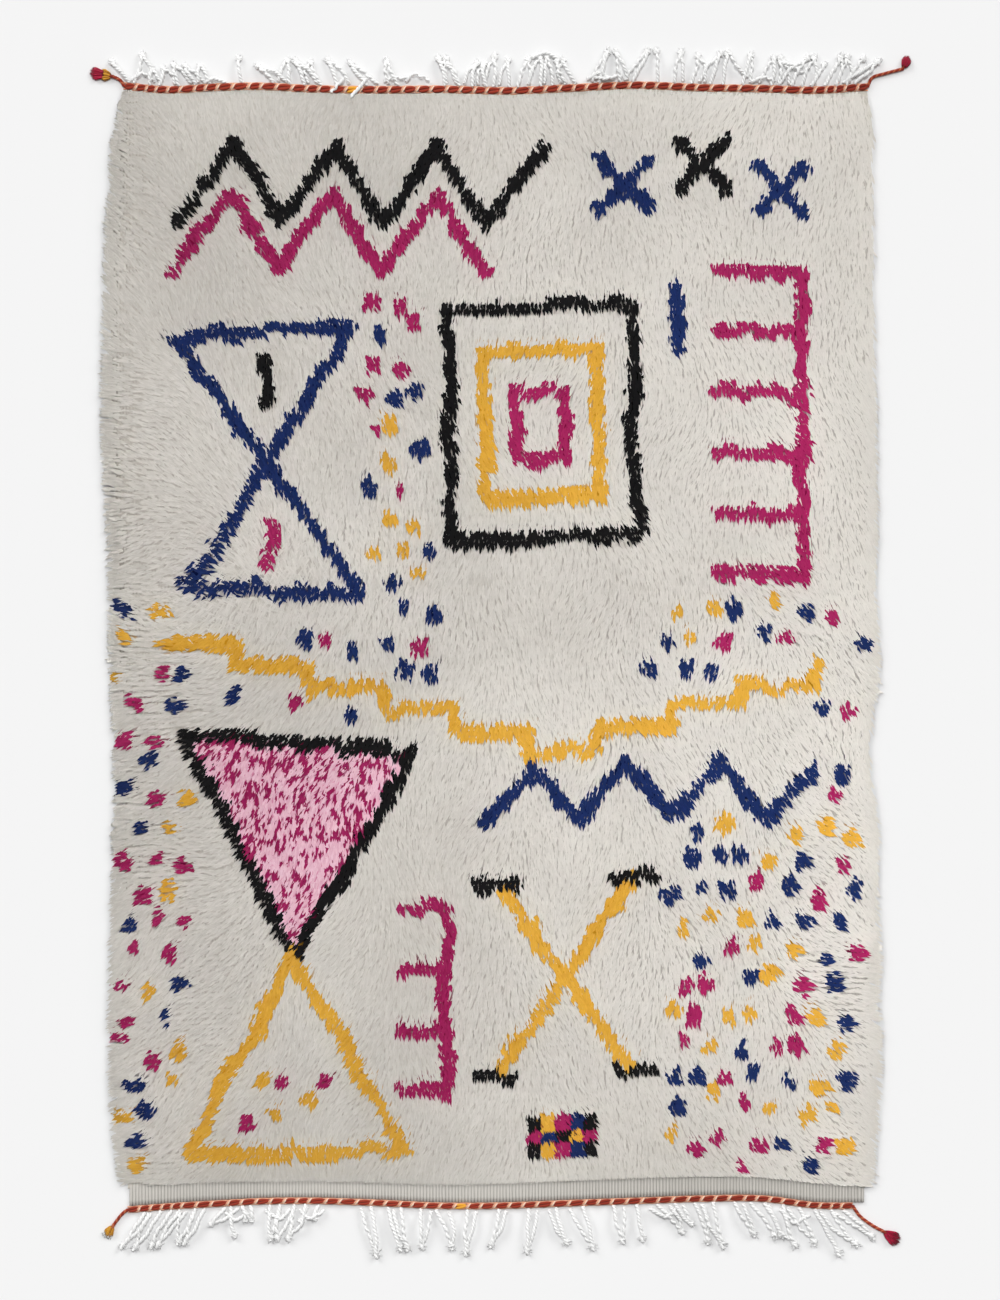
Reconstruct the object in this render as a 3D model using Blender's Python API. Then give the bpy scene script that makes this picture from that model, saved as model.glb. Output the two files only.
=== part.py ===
"""An Azilal rug lying flat: knotted wool pile, edging cords, warp fringes and corner tufts.

Metres, +Z up. The rug lies on z = 0 with its length along Y and its flat-woven end band toward -Y.
The origin is the middle of its footprint. Every piece has a flat underside on the floor, and
neighbouring pieces stand GAP apart.
"""

import math
import random
from collections import namedtuple
from itertools import pairwise

import bmesh
import bpy
import numpy as np
from mathutils import Vector, noise

GAP = 0.0003

# Heights of the cloth: the pile, its lower ends beside the edging and above the band, and the band.
PILE_HEIGHT = 0.015
PILE_END_HEIGHT = 0.0105
PILE_END_RISE_ROWS = 1.5
BAND_HEIGHT = 0.004
RIB_HEIGHT = 0.0012
STEP_LENGTH = 0.006

# The pile is lumpy all over, and a faint fold runs across its middle.
LUMP_HEIGHT = 0.0024
LUMP_PITCH = 0.12
FOLD_Y = -0.018
FOLD_DEPTH = 0.0018
FOLD_WIDTH = 0.030

# Locks of pile lean out over both long sides of the ground. A tip droops by a share of its lock's width.
LOCK_REACH = 0.016
LOCK_NOTCH = 0.008
LOCK_TIP_HEIGHT = 0.0045
LOCK_NOTCH_HEIGHT = 0.0065
LOCK_UNEVENNESS = 0.0025
LOCK_DROOP = 0.2
LOCK_SEED = 5

# The pile's surface is a grid, with finer steps along its rim: each row has three locks at either side.
COLUMNS = 20
ROWS = 31
LOCKS_PER_ROW = 3
TOP_STEPS_PER_COLUMN = 4
RIB_STEPS_PER_COLUMN = 22
FRONT_STEPS_PER_COLUMN = 2

# Fringe: twisted strands on a narrow strip, each with a bend that goes to and fro along the row, and a
# knot near its tip.
STRIP_WIDTH = 0.003
STRIP_HEIGHT = 0.004
STRIP_STEP = 0.020
STRAND_WIDTH = 0.006
STRAND_HEIGHT = 0.005
STRAND_BEND = 0.004
BEND_PHASE_STEP = 2.4
KNOT_PLACE_SHARE = 0.84
KNOT_WIDTH = 0.010
KNOT_HEIGHT = 0.0075
TIP_WIDTH = 0.007
TIP_HEIGHT = 0.0035
TIP_SPACING = 0.0125
CREST_SHARE = 0.7

# Tufts: a tied head and a fan of locks, which has its full spread at a share of the way to the tip.
TUFT_HEAD_WIDTH = 0.0085
TUFT_HEAD_LENGTH = 0.0085
TUFT_SPREAD_SHARE = 0.62
TUFT_HEIGHT = 0.009
LOCK_TIP_WIDTH = 0.003
LOCK_LIFT = 0.003

# A twined cord: its half width, its height, how much its sides and crest swell, and one turn's length.
CordSize = namedtuple("CordSize", "half_width height side_swell crest_swell turn")
EDGING = CordSize(0.0083, 0.0100, 0.0014, 0.0030, 0.0295)
BRAID = CordSize(0.0046, 0.0068, 0.0008, 0.0014, 0.0120)
STEPS_PER_TURN = 3
UNDERSIDE_SHARE = 0.7
SIDE_HEIGHT_SHARE = 0.45
TWIST_LAG = math.radians(60)

# Where the pile's two sides lie, from the edging at the upper end down to the band.
Side = namedtuple("Side", "y left right")
SIDES = (
    Side(1.118, -0.759, 0.741),
    Side(1.070, -0.770, 0.758),
    Side(0.986, -0.776, 0.757),
    Side(0.896, -0.780, 0.761),
    Side(0.826, -0.790, 0.758),
    Side(0.686, -0.793, 0.761),
    Side(0.576, -0.794, 0.754),
    Side(0.446, -0.791, 0.757),
    Side(0.326, -0.790, 0.759),
    Side(0.286, -0.783, 0.758),
    Side(0.106, -0.778, 0.758),
    Side(-0.030, -0.777, 0.760),
    Side(-0.164, -0.770, 0.748),
    Side(-0.274, -0.767, 0.754),
    Side(-0.384, -0.771, 0.760),
    Side(-0.514, -0.775, 0.762),
    Side(-0.624, -0.780, 0.760),
    Side(-0.638, -0.779, 0.752),
    Side(-0.734, -0.779, 0.760),
    Side(-0.884, -0.777, 0.760),
    Side(-0.950, -0.766, 0.754),
    Side(-1.062, -0.757, 0.744),
)

# How the rug's ends wander: the middle of each edging cord, and where the pile stops above the band.
End = namedtuple("End", "x top_cord pile_end bottom_cord")
ENDS = (
    End(-0.746, 1.133, -1.071, -1.113),
    End(-0.670, 1.126, -1.067, -1.107),
    End(-0.570, 1.131, -1.061, -1.101),
    End(-0.478, 1.133, -1.060, -1.096),
    End(-0.380, 1.128, -1.058, -1.095),
    End(-0.250, 1.126, -1.062, -1.099),
    End(-0.120, 1.127, -1.066, -1.105),
    End(0.032, 1.124, -1.063, -1.104),
    End(0.134, 1.129, -1.058, -1.100),
    End(0.280, 1.135, -1.053, -1.095),
    End(0.400, 1.130, -1.049, -1.091),
    End(0.530, 1.128, -1.052, -1.091),
    End(0.630, 1.125, -1.064, -1.104),
    End(0.724, 1.131, -1.069, -1.105),
)

# Bunches of fringe from left to right: the middle of their roots and how far apart those are, the
# middle of their tips, how far those lie past the middle of the edging, and the number of strands.
Bunch = namedtuple("Bunch", "root spread tip reach strands")
TOP_BUNCHES = (
    Bunch(-0.743, 0, -0.781, 0.053, 1),
    Bunch(-0.730, 0, -0.712, 0.076, 1),
    Bunch(-0.700, 0, -0.694, 0.044, 1),
    Bunch(-0.679, 0, -0.672, 0.048, 1),
    Bunch(-0.644, 0, -0.655, 0.058, 1),
    Bunch(-0.610, 0, -0.634, 0.054, 1),
    Bunch(-0.582, 0, -0.603, 0.050, 1),
    Bunch(-0.517, 0, -0.523, 0.064, 1),
    Bunch(-0.455, 0, -0.489, 0.045, 1),
    Bunch(-0.406, 0.030, -0.420, 0.062, 2),
    Bunch(-0.359, 0, -0.382, 0.060, 1),
    Bunch(-0.327, 0, -0.348, 0.066, 1),
    Bunch(-0.268, 0, -0.304, 0.060, 1),
    Bunch(-0.206, 0, -0.230, 0.066, 1),
    Bunch(-0.096, 0.028, -0.119, 0.070, 2),
    Bunch(-0.042, 0.026, -0.038, 0.062, 2),
    Bunch(-0.012, 0, -0.010, 0.078, 1),
    Bunch(0.018, 0, 0.016, 0.070, 1),
    Bunch(0.036, 0, 0.060, 0.070, 1),
    Bunch(0.093, 0.024, 0.086, 0.075, 2),
    Bunch(0.140, 0.020, 0.116, 0.064, 2),
    Bunch(0.219, 0.040, 0.224, 0.078, 2),
    Bunch(0.291, 0.048, 0.306, 0.078, 2),
    Bunch(0.349, 0, 0.364, 0.078, 1),
    Bunch(0.384, 0, 0.398, 0.072, 1),
    Bunch(0.434, 0.024, 0.450, 0.078, 2),
    Bunch(0.486, 0, 0.505, 0.076, 1),
    Bunch(0.550, 0.014, 0.555, 0.071, 2),
    Bunch(0.594, 0.020, 0.626, 0.073, 2),
    Bunch(0.624, 0, 0.652, 0.058, 1),
    Bunch(0.662, 0.022, 0.692, 0.072, 2),
    Bunch(0.694, 0, 0.732, 0.064, 1),
    Bunch(0.712, 0, 0.762, 0.056, 1),
)
BOTTOM_BUNCHES = (
    Bunch(-0.712, 0, -0.760, 0.080, 1),
    Bunch(-0.680, 0, -0.736, 0.086, 1),
    Bunch(-0.650, 0.016, -0.696, 0.084, 2),
    Bunch(-0.601, 0.018, -0.641, 0.082, 2),
    Bunch(-0.552, 0, -0.582, 0.046, 1),
    Bunch(-0.538, 0, -0.530, 0.074, 1),
    Bunch(-0.506, 0.016, -0.502, 0.042, 2),
    Bunch(-0.450, 0.020, -0.452, 0.084, 2),
    Bunch(-0.412, 0, -0.424, 0.084, 1),
    Bunch(-0.389, 0, -0.400, 0.046, 1),
    Bunch(-0.364, 0, -0.372, 0.040, 1),
    Bunch(-0.257, 0, -0.246, 0.1145, 1),
    Bunch(-0.210, 0.026, -0.190, 0.098, 2),
    Bunch(-0.158, 0, -0.156, 0.094, 1),
    Bunch(-0.126, 0, -0.092, 0.092, 1),
    Bunch(-0.065, 0, -0.068, 0.104, 1),
    Bunch(-0.002, 0, -0.020, 0.088, 1),
    Bunch(0.057, 0, 0.054, 0.102, 1),
    Bunch(0.113, 0, 0.136, 0.088, 1),
    Bunch(0.167, 0, 0.187, 0.100, 1),
    Bunch(0.228, 0, 0.248, 0.088, 1),
    Bunch(0.274, 0, 0.286, 0.086, 1),
    Bunch(0.317, 0, 0.370, 0.072, 1),
    Bunch(0.352, 0, 0.388, 0.056, 1),
    Bunch(0.391, 0, 0.419, 0.096, 1),
    Bunch(0.427, 0, 0.447, 0.104, 1),
    Bunch(0.470, 0, 0.513, 0.080, 1),
    Bunch(0.517, 0.028, 0.562, 0.080, 2),
    Bunch(0.567, 0, 0.592, 0.094, 1),
    Bunch(0.600, 0, 0.633, 0.084, 1),
    Bunch(0.631, 0, 0.682, 0.104, 1),
    Bunch(0.664, 0, 0.717, 0.086, 1),
    Bunch(0.690, 0, 0.752, 0.068, 1),
)

# The corners: where the edging cord ends, where the braid that runs on from it bends and ends, where
# its tuft's locks end, how wide they spread, how many there are, and their colour.
Corner = namedtuple("Corner", "end side cord_x bends tip spread locks colour")
TOP_LEFT_BENDS = ((-0.759, 1.145), (-0.775, 1.153))
TOP_RIGHT_BENDS = ((0.744, 1.150), (0.768, 1.158), (0.806, 1.168))
BOTTOM_LEFT_BENDS = ((-0.756, -1.122), (-0.773, -1.144))
BOTTOM_RIGHT_BENDS = ((0.720, -1.126), (0.744, -1.144), (0.766, -1.156))
CORNERS = (
    Corner("top", "left", -0.752, TOP_LEFT_BENDS, (-0.8212, 1.160), 0.020, 5, "crimson"),
    Corner("top", "right", 0.735, TOP_RIGHT_BENDS, (0.8170, 1.196), 0.013, 4, "crimson"),
    Corner("bottom", "left", -0.744, BOTTOM_LEFT_BENDS, (-0.7900, -1.172), 0.018, 5, "gold"),
    Corner("bottom", "right", 0.705, BOTTOM_RIGHT_BENDS, (0.8000, -1.178), 0.027, 6, "crimson"),
)

Colour = namedtuple("Colour", "red green blue roughness")
COLOURS = {
    "cream_wool": Colour(0.62, 0.57, 0.50, 0.95),
    "brick_wool": Colour(0.36, 0.06, 0.03, 0.90),
    "white_cotton": Colour(0.75, 0.75, 0.73, 0.90),
    "crimson": Colour(0.35, 0.01, 0.05, 0.90),
    "gold": Colour(0.65, 0.33, 0.04, 0.90),
}


def clear_scene():
    for obj in list(bpy.data.objects):
        bpy.data.objects.remove(obj, do_unlink=True)


def wool(name):
    """The material of one yarn, made once."""
    material = bpy.data.materials.get(name)
    if material is None:
        colour = COLOURS[name]
        material = bpy.data.materials.new(name)
        material.use_nodes = True
        shader = material.node_tree.nodes["Principled BSDF"]
        shader.inputs["Base Color"].default_value = (colour.red, colour.green, colour.blue, 1)
        shader.inputs["Roughness"].default_value = colour.roughness
        shader.inputs["Metallic"].default_value = 0
    return material


def finished(bm, name, colour):
    """Turn the mesh's faces out and make it one object of one yarn."""
    bmesh.ops.recalc_face_normals(bm, faces=bm.faces)
    mesh = bpy.data.meshes.new(name)
    bm.to_mesh(mesh)
    bm.free()
    mesh.materials.append(wool(colour))
    obj = bpy.data.objects.new(name, mesh)
    bpy.context.scene.collection.objects.link(obj)
    return obj


def end_line(column, x):
    """One of the wandering lines across the rug's ends, as a smooth cubic through its stations."""
    places = np.array([end.x for end in ENDS])
    values = np.array([getattr(end, column) for end in ENDS])
    slopes = np.gradient(values, places)
    index = int(np.clip(np.searchsorted(places, x) - 1, 0, len(places) - 2))
    span = places[index + 1] - places[index]
    share = (x - places[index]) / span
    start = values[index] * (1 + 2 * share) + slopes[index] * span * share
    stop = values[index + 1] * (3 - 2 * share) - slopes[index + 1] * span * (1 - share)
    return float(start * (1 - share) ** 2 + stop * share**2)


def side_line(column, y):
    """How far left or right the pile reaches at this height of the rug."""
    places = [-side.y for side in SIDES]
    return float(np.interp(-y, places, [getattr(side, column) for side in SIDES]))


def pile_top_y(x):
    return end_line("top_cord", x) - EDGING.half_width - GAP


def band_front_y(x):
    return end_line("bottom_cord", x) + EDGING.half_width + GAP


def pile_height(x, y, share):
    """The height of the lumpy pile, lower toward its two ends, where share is 0 and 1."""
    lumps = noise.noise(Vector((x / LUMP_PITCH, y / LUMP_PITCH, 0)))
    fold = math.exp(-(((y - FOLD_Y) / FOLD_WIDTH) ** 2))
    middle = PILE_HEIGHT + LUMP_HEIGHT * lumps - FOLD_DEPTH * fold
    fullness = min(1, min(share, 1 - share) * ROWS / PILE_END_RISE_ROWS)
    return PILE_END_HEIGHT + (middle - PILE_END_HEIGHT) * fullness


def pile_point(across, along):
    """A point of the pile's surface, from its shares of the width and of the length down from the top."""
    nominal_y = SIDES[0].y + (SIDES[-1].y - SIDES[0].y) * along
    left = side_line("left", nominal_y) + LOCK_REACH
    right = side_line("right", nominal_y) - LOCK_REACH
    x = left + (right - left) * across
    y = pile_top_y(x) + (end_line("pile_end", x) - pile_top_y(x)) * along
    return Vector((x, y, pile_height(x, y, along)))


def quads_between(bm, first, second):
    """Fill between two rows of as many vertices."""
    for (a, b), (c, d) in zip(pairwise(first), pairwise(second)):
        bm.faces.new((a, b, d, c))


def add_points(bm, points):
    return [bm.verts.new(point) for point in points]


def on_floor(points):
    return [Vector((point.x, point.y, 0)) for point in points]


def add_lock_rim(bm, rim, outward, rng):
    """Hang pointed locks on one side of the pile, and return the vertices where it meets the floor."""
    floor = add_points(bm, on_floor([vert.co for vert in rim]))
    notches = []
    for vert in rim:
        x = vert.co.x + outward * (LOCK_REACH - LOCK_NOTCH)
        notches.append(bm.verts.new((x, vert.co.y, LOCK_NOTCH_HEIGHT)))
    for place in range(len(rim) - 1):
        above = rim[place : place + 2]
        below = floor[place : place + 2]
        beside = notches[place : place + 2]
        middle = (above[0].co + above[1].co) / 2
        reach = LOCK_REACH + rng.uniform(-1, 1) * LOCK_UNEVENNESS
        droop = rng.uniform(-1, 1) * LOCK_DROOP * (above[1].co.y - above[0].co.y)
        tip = bm.verts.new((middle.x + outward * reach, middle.y + droop, LOCK_TIP_HEIGHT))
        for inner in (above, below):
            bm.faces.new((inner[0], beside[0], tip))
            bm.faces.new((inner[0], tip, inner[1]))
            bm.faces.new((inner[1], tip, beside[1]))
    for corner in (0, -1):
        bm.faces.new((rim[corner], notches[corner], floor[corner]))
    return floor


def add_pile_surface(bm, top, left, right, bottom):
    """Fill the pile's surface: a grid whose rim takes in the finer rows of vertices along its edges."""
    inner = {}
    for row in range(1, ROWS):
        for column in range(1, COLUMNS):
            inner[column, row] = bm.verts.new(pile_point(column / COLUMNS, row / ROWS))

    def run(column, row, next_column, next_row):
        """The vertices along one edge of a cell, without the corner that ends it."""
        if row == next_row == 0:
            start, stop, fine = column * TOP_STEPS_PER_COLUMN, next_column * TOP_STEPS_PER_COLUMN, top
        elif row == next_row == ROWS:
            start, stop, fine = column, next_column, bottom
        elif column == next_column == 0:
            start, stop, fine = row * LOCKS_PER_ROW, next_row * LOCKS_PER_ROW, left
        elif column == next_column == COLUMNS:
            start, stop, fine = row * LOCKS_PER_ROW, next_row * LOCKS_PER_ROW, right
        else:
            return [corner(column, row)]
        return [fine[place] for place in range(start, stop, 1 if stop > start else -1)]

    def corner(column, row):
        if row == 0:
            return top[column * TOP_STEPS_PER_COLUMN]
        if row == ROWS:
            return bottom[column]
        if column == 0:
            return left[row * LOCKS_PER_ROW]
        if column == COLUMNS:
            return right[row * LOCKS_PER_ROW]
        return inner[column, row]

    for row in range(ROWS):
        for column in range(COLUMNS):
            corners = ((column, row), (column + 1, row), (column + 1, row + 1), (column, row + 1))
            ring = []
            for here, there in zip(corners, corners[1:] + corners[:1]):
                ring += run(*here, *there)
            bm.faces.new(ring)


def add_band(bm, pile_edge):
    """Weave the ribbed band on from the pile's lower edge, and return its rows of vertices."""
    ribs = COLUMNS * RIB_STEPS_PER_COLUMN
    left = pile_edge[0].co.x
    right = pile_edge[-1].co.x
    back = []
    front = []
    for place in range(ribs + 1):
        x = left + (right - left) * place / ribs
        height = BAND_HEIGHT + (RIB_HEIGHT if place % 2 else 0)
        back.append(Vector((x, end_line("pile_end", x) - STEP_LENGTH, height)))
        front.append(Vector((x, band_front_y(x), height)))
    back = add_points(bm, back)
    front = add_points(bm, front)
    quads_between(bm, back, front)
    for column in range(COLUMNS):
        start = column * RIB_STEPS_PER_COLUMN
        foot = back[start : start + RIB_STEPS_PER_COLUMN + 1]
        bm.faces.new([pile_edge[column + 1], pile_edge[column], *foot])
    step = RIB_STEPS_PER_COLUMN // FRONT_STEPS_PER_COLUMN
    floor = add_points(bm, on_floor([vert.co for vert in front[::step]]))
    for place, (here, there) in enumerate(pairwise(floor)):
        bm.faces.new([there, here, *front[place * step : (place + 1) * step + 1]])
    return back, front, floor


def make_rug():
    """The cloth: a lumpy slab of pile with locks along its sides, and the ribbed band below it."""
    bm = bmesh.new()
    top_steps = COLUMNS * TOP_STEPS_PER_COLUMN
    side_steps = ROWS * LOCKS_PER_ROW
    top = add_points(bm, [pile_point(place / top_steps, 0) for place in range(top_steps + 1)])
    bottom = add_points(bm, [pile_point(place / COLUMNS, 1) for place in range(COLUMNS + 1)])
    left = add_points(bm, [pile_point(0, place / side_steps) for place in range(1, side_steps)])
    right = add_points(bm, [pile_point(1, place / side_steps) for place in range(1, side_steps)])
    left = [top[0], *left, bottom[0]]
    right = [top[-1], *right, bottom[-1]]
    add_pile_surface(bm, top, left, right, bottom)

    rng = random.Random(LOCK_SEED)
    left_floor = add_lock_rim(bm, left, -1, rng)
    right_floor = add_lock_rim(bm, right, 1, rng)
    top_floor = add_points(bm, on_floor([vert.co for vert in top[1:-1]]))
    top_floor = [left_floor[0], *top_floor, right_floor[0]]
    quads_between(bm, top, top_floor)

    back, front, band_floor = add_band(bm, bottom)
    for side, corner in ((left_floor, 0), (right_floor, -1)):
        bm.faces.new((side[-1], bottom[corner], back[corner], front[corner], band_floor[corner]))

    for row in range(ROWS):
        start = row * LOCKS_PER_ROW
        stop = start + LOCKS_PER_ROW
        across = top_floor[1:-1] if row == 0 else []
        bm.faces.new(left_floor[start : stop + 1][::-1] + across + right_floor[start : stop + 1])
    bm.faces.new([left_floor[-1], *band_floor, right_floor[-1]])
    return finished(bm, "rug", "cream_wool")


def cord_ring(centre, across, size, phase):
    """Corners of a cord's section: a flat underside, and two sides and a crest that swell in turn."""

    def swell(most, lag):
        return most * (math.cos(phase + lag) - 1) / 2

    side_height = SIDE_HEIGHT_SHARE * size.height
    corners = (
        (-UNDERSIDE_SHARE * size.half_width, 0),
        (UNDERSIDE_SHARE * size.half_width, 0),
        (size.half_width + swell(size.side_swell, TWIST_LAG), side_height),
        (0, size.height + swell(size.crest_swell, 0)),
        (-size.half_width - swell(size.side_swell, -TWIST_LAG), side_height),
    )
    return [(centre + across * offset).to_3d() + Vector((0, 0, height)) for offset, height in corners]


def curve_points(corners, step):
    """Points about a step apart along a smooth curve through a few corners."""
    corners = [Vector(corner) for corner in corners]
    ends = [2 * corners[0] - corners[1], *corners, 2 * corners[-1] - corners[-2]]
    points = []
    for before, start, stop, after in zip(ends, ends[1:], ends[2:], ends[3:]):
        count = max(1, round((stop - start).length / step))
        for place in range(count):
            t = place / count
            bent = (2 * before - 5 * start + 4 * stop - after) * t**2
            curled = (3 * start - before - 3 * stop + after) * t**3
            points.append((2 * start + (stop - before) * t + bent + curled) / 2)
    return [*points, corners[-1]]


def across_each(points):
    """The sideways direction at each point of a path."""
    padded = [points[0], *points, points[-1]]
    directions = [(after - before).normalized() for before, after in zip(padded, padded[2:])]
    return [Vector((direction.y, -direction.x)) for direction in directions]


def extrude_through(bm, face, corners, sections):
    """Extrude a face, whose vertices are given in the sections' order, from section to section."""
    for section in sections:
        order = {tuple(vert.co): place for place, vert in enumerate(corners)}
        (face,) = bmesh.ops.extrude_discrete_faces(bm, faces=[face])["faces"]
        corners = sorted(face.verts, key=lambda vert: order[tuple(vert.co)])
        for vert, point in zip(corners, section):
            vert.co = point


def braid_path(corner):
    """The middle line of a corner's braid, from the edging's end to its tuft."""
    start = (corner.cord_x, end_line(corner.end + "_cord", corner.cord_x))
    return curve_points([start, *corner.bends], BRAID.turn / STEPS_PER_TURN)


def make_edging(end):
    """The twined cord across one end of the rug, with a braid running on past each corner."""
    left, right = [corner for corner in CORNERS if corner.end == end]
    left_braid = braid_path(left)[:0:-1]
    right_braid = braid_path(right)[1:]
    length = right.cord_x - left.cord_x
    steps = round(length * STEPS_PER_TURN / EDGING.turn)
    xs = [left.cord_x + length * step / steps for step in range(steps + 1)]
    edge = [Vector((x, end_line(end + "_cord", x))) for x in xs]
    path = left_braid + edge + right_braid
    sizes = [BRAID] * len(left_braid) + [EDGING] * len(edge) + [BRAID] * len(right_braid)

    rings = []
    for place, (centre, across, size) in enumerate(zip(path, across_each(path), sizes)):
        phase = math.tau * (place - len(left_braid)) / STEPS_PER_TURN
        rings.append(cord_ring(centre, across, size, phase))
    bm = bmesh.new()
    corners = add_points(bm, rings[0])
    extrude_through(bm, bm.faces.new(corners), corners, rings[1:])
    bm.faces.new(corners)
    return finished(bm, f"edging_{end}", "brick_wool")


def strand_section(centre, across, width, height):
    """Corners of a strand's section, flat on the floor and narrower at its crest."""
    half = across * width / 2
    crest = half * CREST_SHARE
    up = Vector((0, 0, height))
    floor = [(centre - half).to_3d(), (centre + half).to_3d()]
    return [*floor, (centre + crest).to_3d() + up, (centre - crest).to_3d() + up]


def add_backing(bm, inner, outer, height, strands):
    """Build a strip between two rows of floor points, and grow strands out of cells of its outer side."""
    rings = []
    for near, far in zip(inner, outer):
        ring = [near.to_3d(), far.to_3d(), far.to_3d(), near.to_3d()]
        for point in ring[2:]:
            point.z = height
        rings.append(add_points(bm, ring))
    bm.faces.new(rings[0])
    bm.faces.new(rings[-1][::-1])
    for cell, (here, there) in enumerate(pairwise(rings)):
        for low, high in ((0, 1), (2, 3), (3, 0)):
            bm.faces.new((here[low], there[low], there[high], here[high]))
        corners = [here[1], there[1], there[2], here[2]]
        face = bm.faces.new(corners)
        extrude_through(bm, face, corners, strands.get(cell, ()))


def strand_sections(root, tip, bend):
    """Sections of one fringe strand: along a slight bend to its knot and its tip."""
    along = (tip - root).normalized()
    across = Vector((along.y, -along.x))
    if across.x < 0:
        across.negate()
    middle = (root + tip) / 2 + across * bend
    return [
        strand_section(middle, across, STRAND_WIDTH, STRAND_HEIGHT),
        strand_section(root.lerp(tip, KNOT_PLACE_SHARE), across, KNOT_WIDTH, KNOT_HEIGHT),
        strand_section(tip, across, TIP_WIDTH, TIP_HEIGHT),
    ]


def make_fringe(end, bunches, outward):
    """The warp ends beyond one edging cord, knotted in bunches and lying on the floor."""
    strip_near = outward * (EDGING.half_width + GAP)
    strip_far = strip_near + outward * STRIP_WIDTH

    def beside_cord(x, offset):
        return Vector((x, end_line(end + "_cord", x) + offset))

    roots = []
    for number, bunch in enumerate(bunches):
        for strand in range(bunch.strands):
            place = strand - (bunch.strands - 1) / 2
            root = bunch.root + place * bunch.spread / max(1, bunch.strands - 1)
            tip_x = bunch.tip + place * TIP_SPACING
            tip = Vector((tip_x, end_line(end + "_cord", bunch.tip) + outward * bunch.reach))
            roots.append((root, tip, STRAND_BEND * math.sin(number * BEND_PHASE_STEP)))

    stations = [roots[0][0] - STRAND_WIDTH]
    strands = {}
    for root, tip, bend in roots:
        left = root - STRAND_WIDTH / 2
        gap_steps = max(1, math.ceil((left - stations[-1]) / STRIP_STEP))
        start = stations[-1]
        stations += [start + (left - start) * step / gap_steps for step in range(1, gap_steps + 1)]
        strands[len(stations) - 1] = strand_sections(beside_cord(root, strip_far), tip, bend)
        stations.append(root + STRAND_WIDTH / 2)
    stations.append(stations[-1] + STRAND_WIDTH / 2)

    bm = bmesh.new()
    inner = [beside_cord(x, strip_near) for x in stations]
    outer = [beside_cord(x, strip_far) for x in stations]
    add_backing(bm, inner, outer, STRIP_HEIGHT, strands)
    return finished(bm, f"fringe_{end}", "white_cotton")


def make_tuft(corner):
    """The tied head on a braid's end and its fan of cut yarn locks."""
    before, braid_end = braid_path(corner)[-2:]
    tip = Vector(corner.tip)
    braid_along = (braid_end - before).normalized()
    along = (tip - braid_end).normalized()
    across = Vector((along.y, -along.x))
    back = braid_end + braid_along * GAP
    front = braid_end + (braid_along + along).normalized() * TUFT_HEAD_LENGTH
    middle = braid_end.lerp(tip, TUFT_SPREAD_SHARE)

    def across_head(centre, direction):
        sideways = Vector((direction.y, -direction.x)) * TUFT_HEAD_WIDTH
        return [centre + sideways * (place / corner.locks - 1 / 2) for place in range(corner.locks + 1)]

    locks = {}
    for lock in range(corner.locks):
        aside = across * corner.spread * ((lock + 1 / 2) / corner.locks - 1 / 2)
        wide = strand_section(middle + aside, across, LOCK_TIP_WIDTH, TUFT_HEIGHT)
        end = strand_section(tip + aside, across, LOCK_TIP_WIDTH * CREST_SHARE, LOCK_LIFT)
        locks[lock] = [wide, end]
    bm = bmesh.new()
    add_backing(bm, across_head(back, braid_along), across_head(front, along), TUFT_HEIGHT, locks)
    return finished(bm, f"tuft_{corner.end}_{corner.side}", corner.colour)


clear_scene()
make_rug()
make_edging("top")
make_edging("bottom")
make_fringe("top", TOP_BUNCHES, 1)
make_fringe("bottom", BOTTOM_BUNCHES, -1)
for rug_corner in CORNERS:
    make_tuft(rug_corner)
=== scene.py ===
"""An Azilal rug seen from straight above: hand-knotted wool pile with free coloured motifs on cream,
a ribbed flat-woven band, twined edging cords, knotted warp fringes and four corner tufts."""

import math
from collections import namedtuple
from itertools import pairwise

import bmesh
import bpy
import numpy as np
from mathutils import Matrix, Vector
from mathutils.bvhtree import BVHTree


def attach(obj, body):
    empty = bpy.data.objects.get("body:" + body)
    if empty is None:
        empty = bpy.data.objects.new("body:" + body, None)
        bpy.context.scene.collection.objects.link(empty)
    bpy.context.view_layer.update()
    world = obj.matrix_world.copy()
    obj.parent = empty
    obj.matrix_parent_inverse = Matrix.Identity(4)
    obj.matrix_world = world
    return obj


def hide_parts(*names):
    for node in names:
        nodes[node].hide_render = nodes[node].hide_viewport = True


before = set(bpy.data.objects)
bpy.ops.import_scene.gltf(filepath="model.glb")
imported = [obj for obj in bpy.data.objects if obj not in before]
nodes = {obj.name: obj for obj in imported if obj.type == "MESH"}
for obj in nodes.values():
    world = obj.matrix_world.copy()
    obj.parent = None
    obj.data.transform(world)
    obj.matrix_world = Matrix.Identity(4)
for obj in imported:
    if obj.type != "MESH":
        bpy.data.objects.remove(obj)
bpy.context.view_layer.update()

# The rug lies on a plain pale floor under soft studio light, and a long lens looks straight down on it.
# The view is 2.0 m by 2.6 m, and it is centred a little above the middle of the rug.
VIEW_LENGTH = 2.6
VIEW_CENTRE_Y = 0.006
CAMERA_HEIGHT = 9.0
SENSOR = 0.036
FLOOR_SIZE = 60.0
FLOOR_DROP = 0.0004
FLOOR_COLOUR = (0.775, 0.775, 0.775)
SKY_STRENGTH = 0.29
Key = namedtuple("Key", "name strength spread come_from")
KEYS = (
    Key("key_overhead", 1.65, math.radians(12), (0, 0.36, 1)),
    Key("key_left", 1.24, math.radians(26), (-1.0, 1.0, 0.8)),
    Key("key_right", 1.24, math.radians(26), (1.0, 1.0, 0.8)),
)

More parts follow.
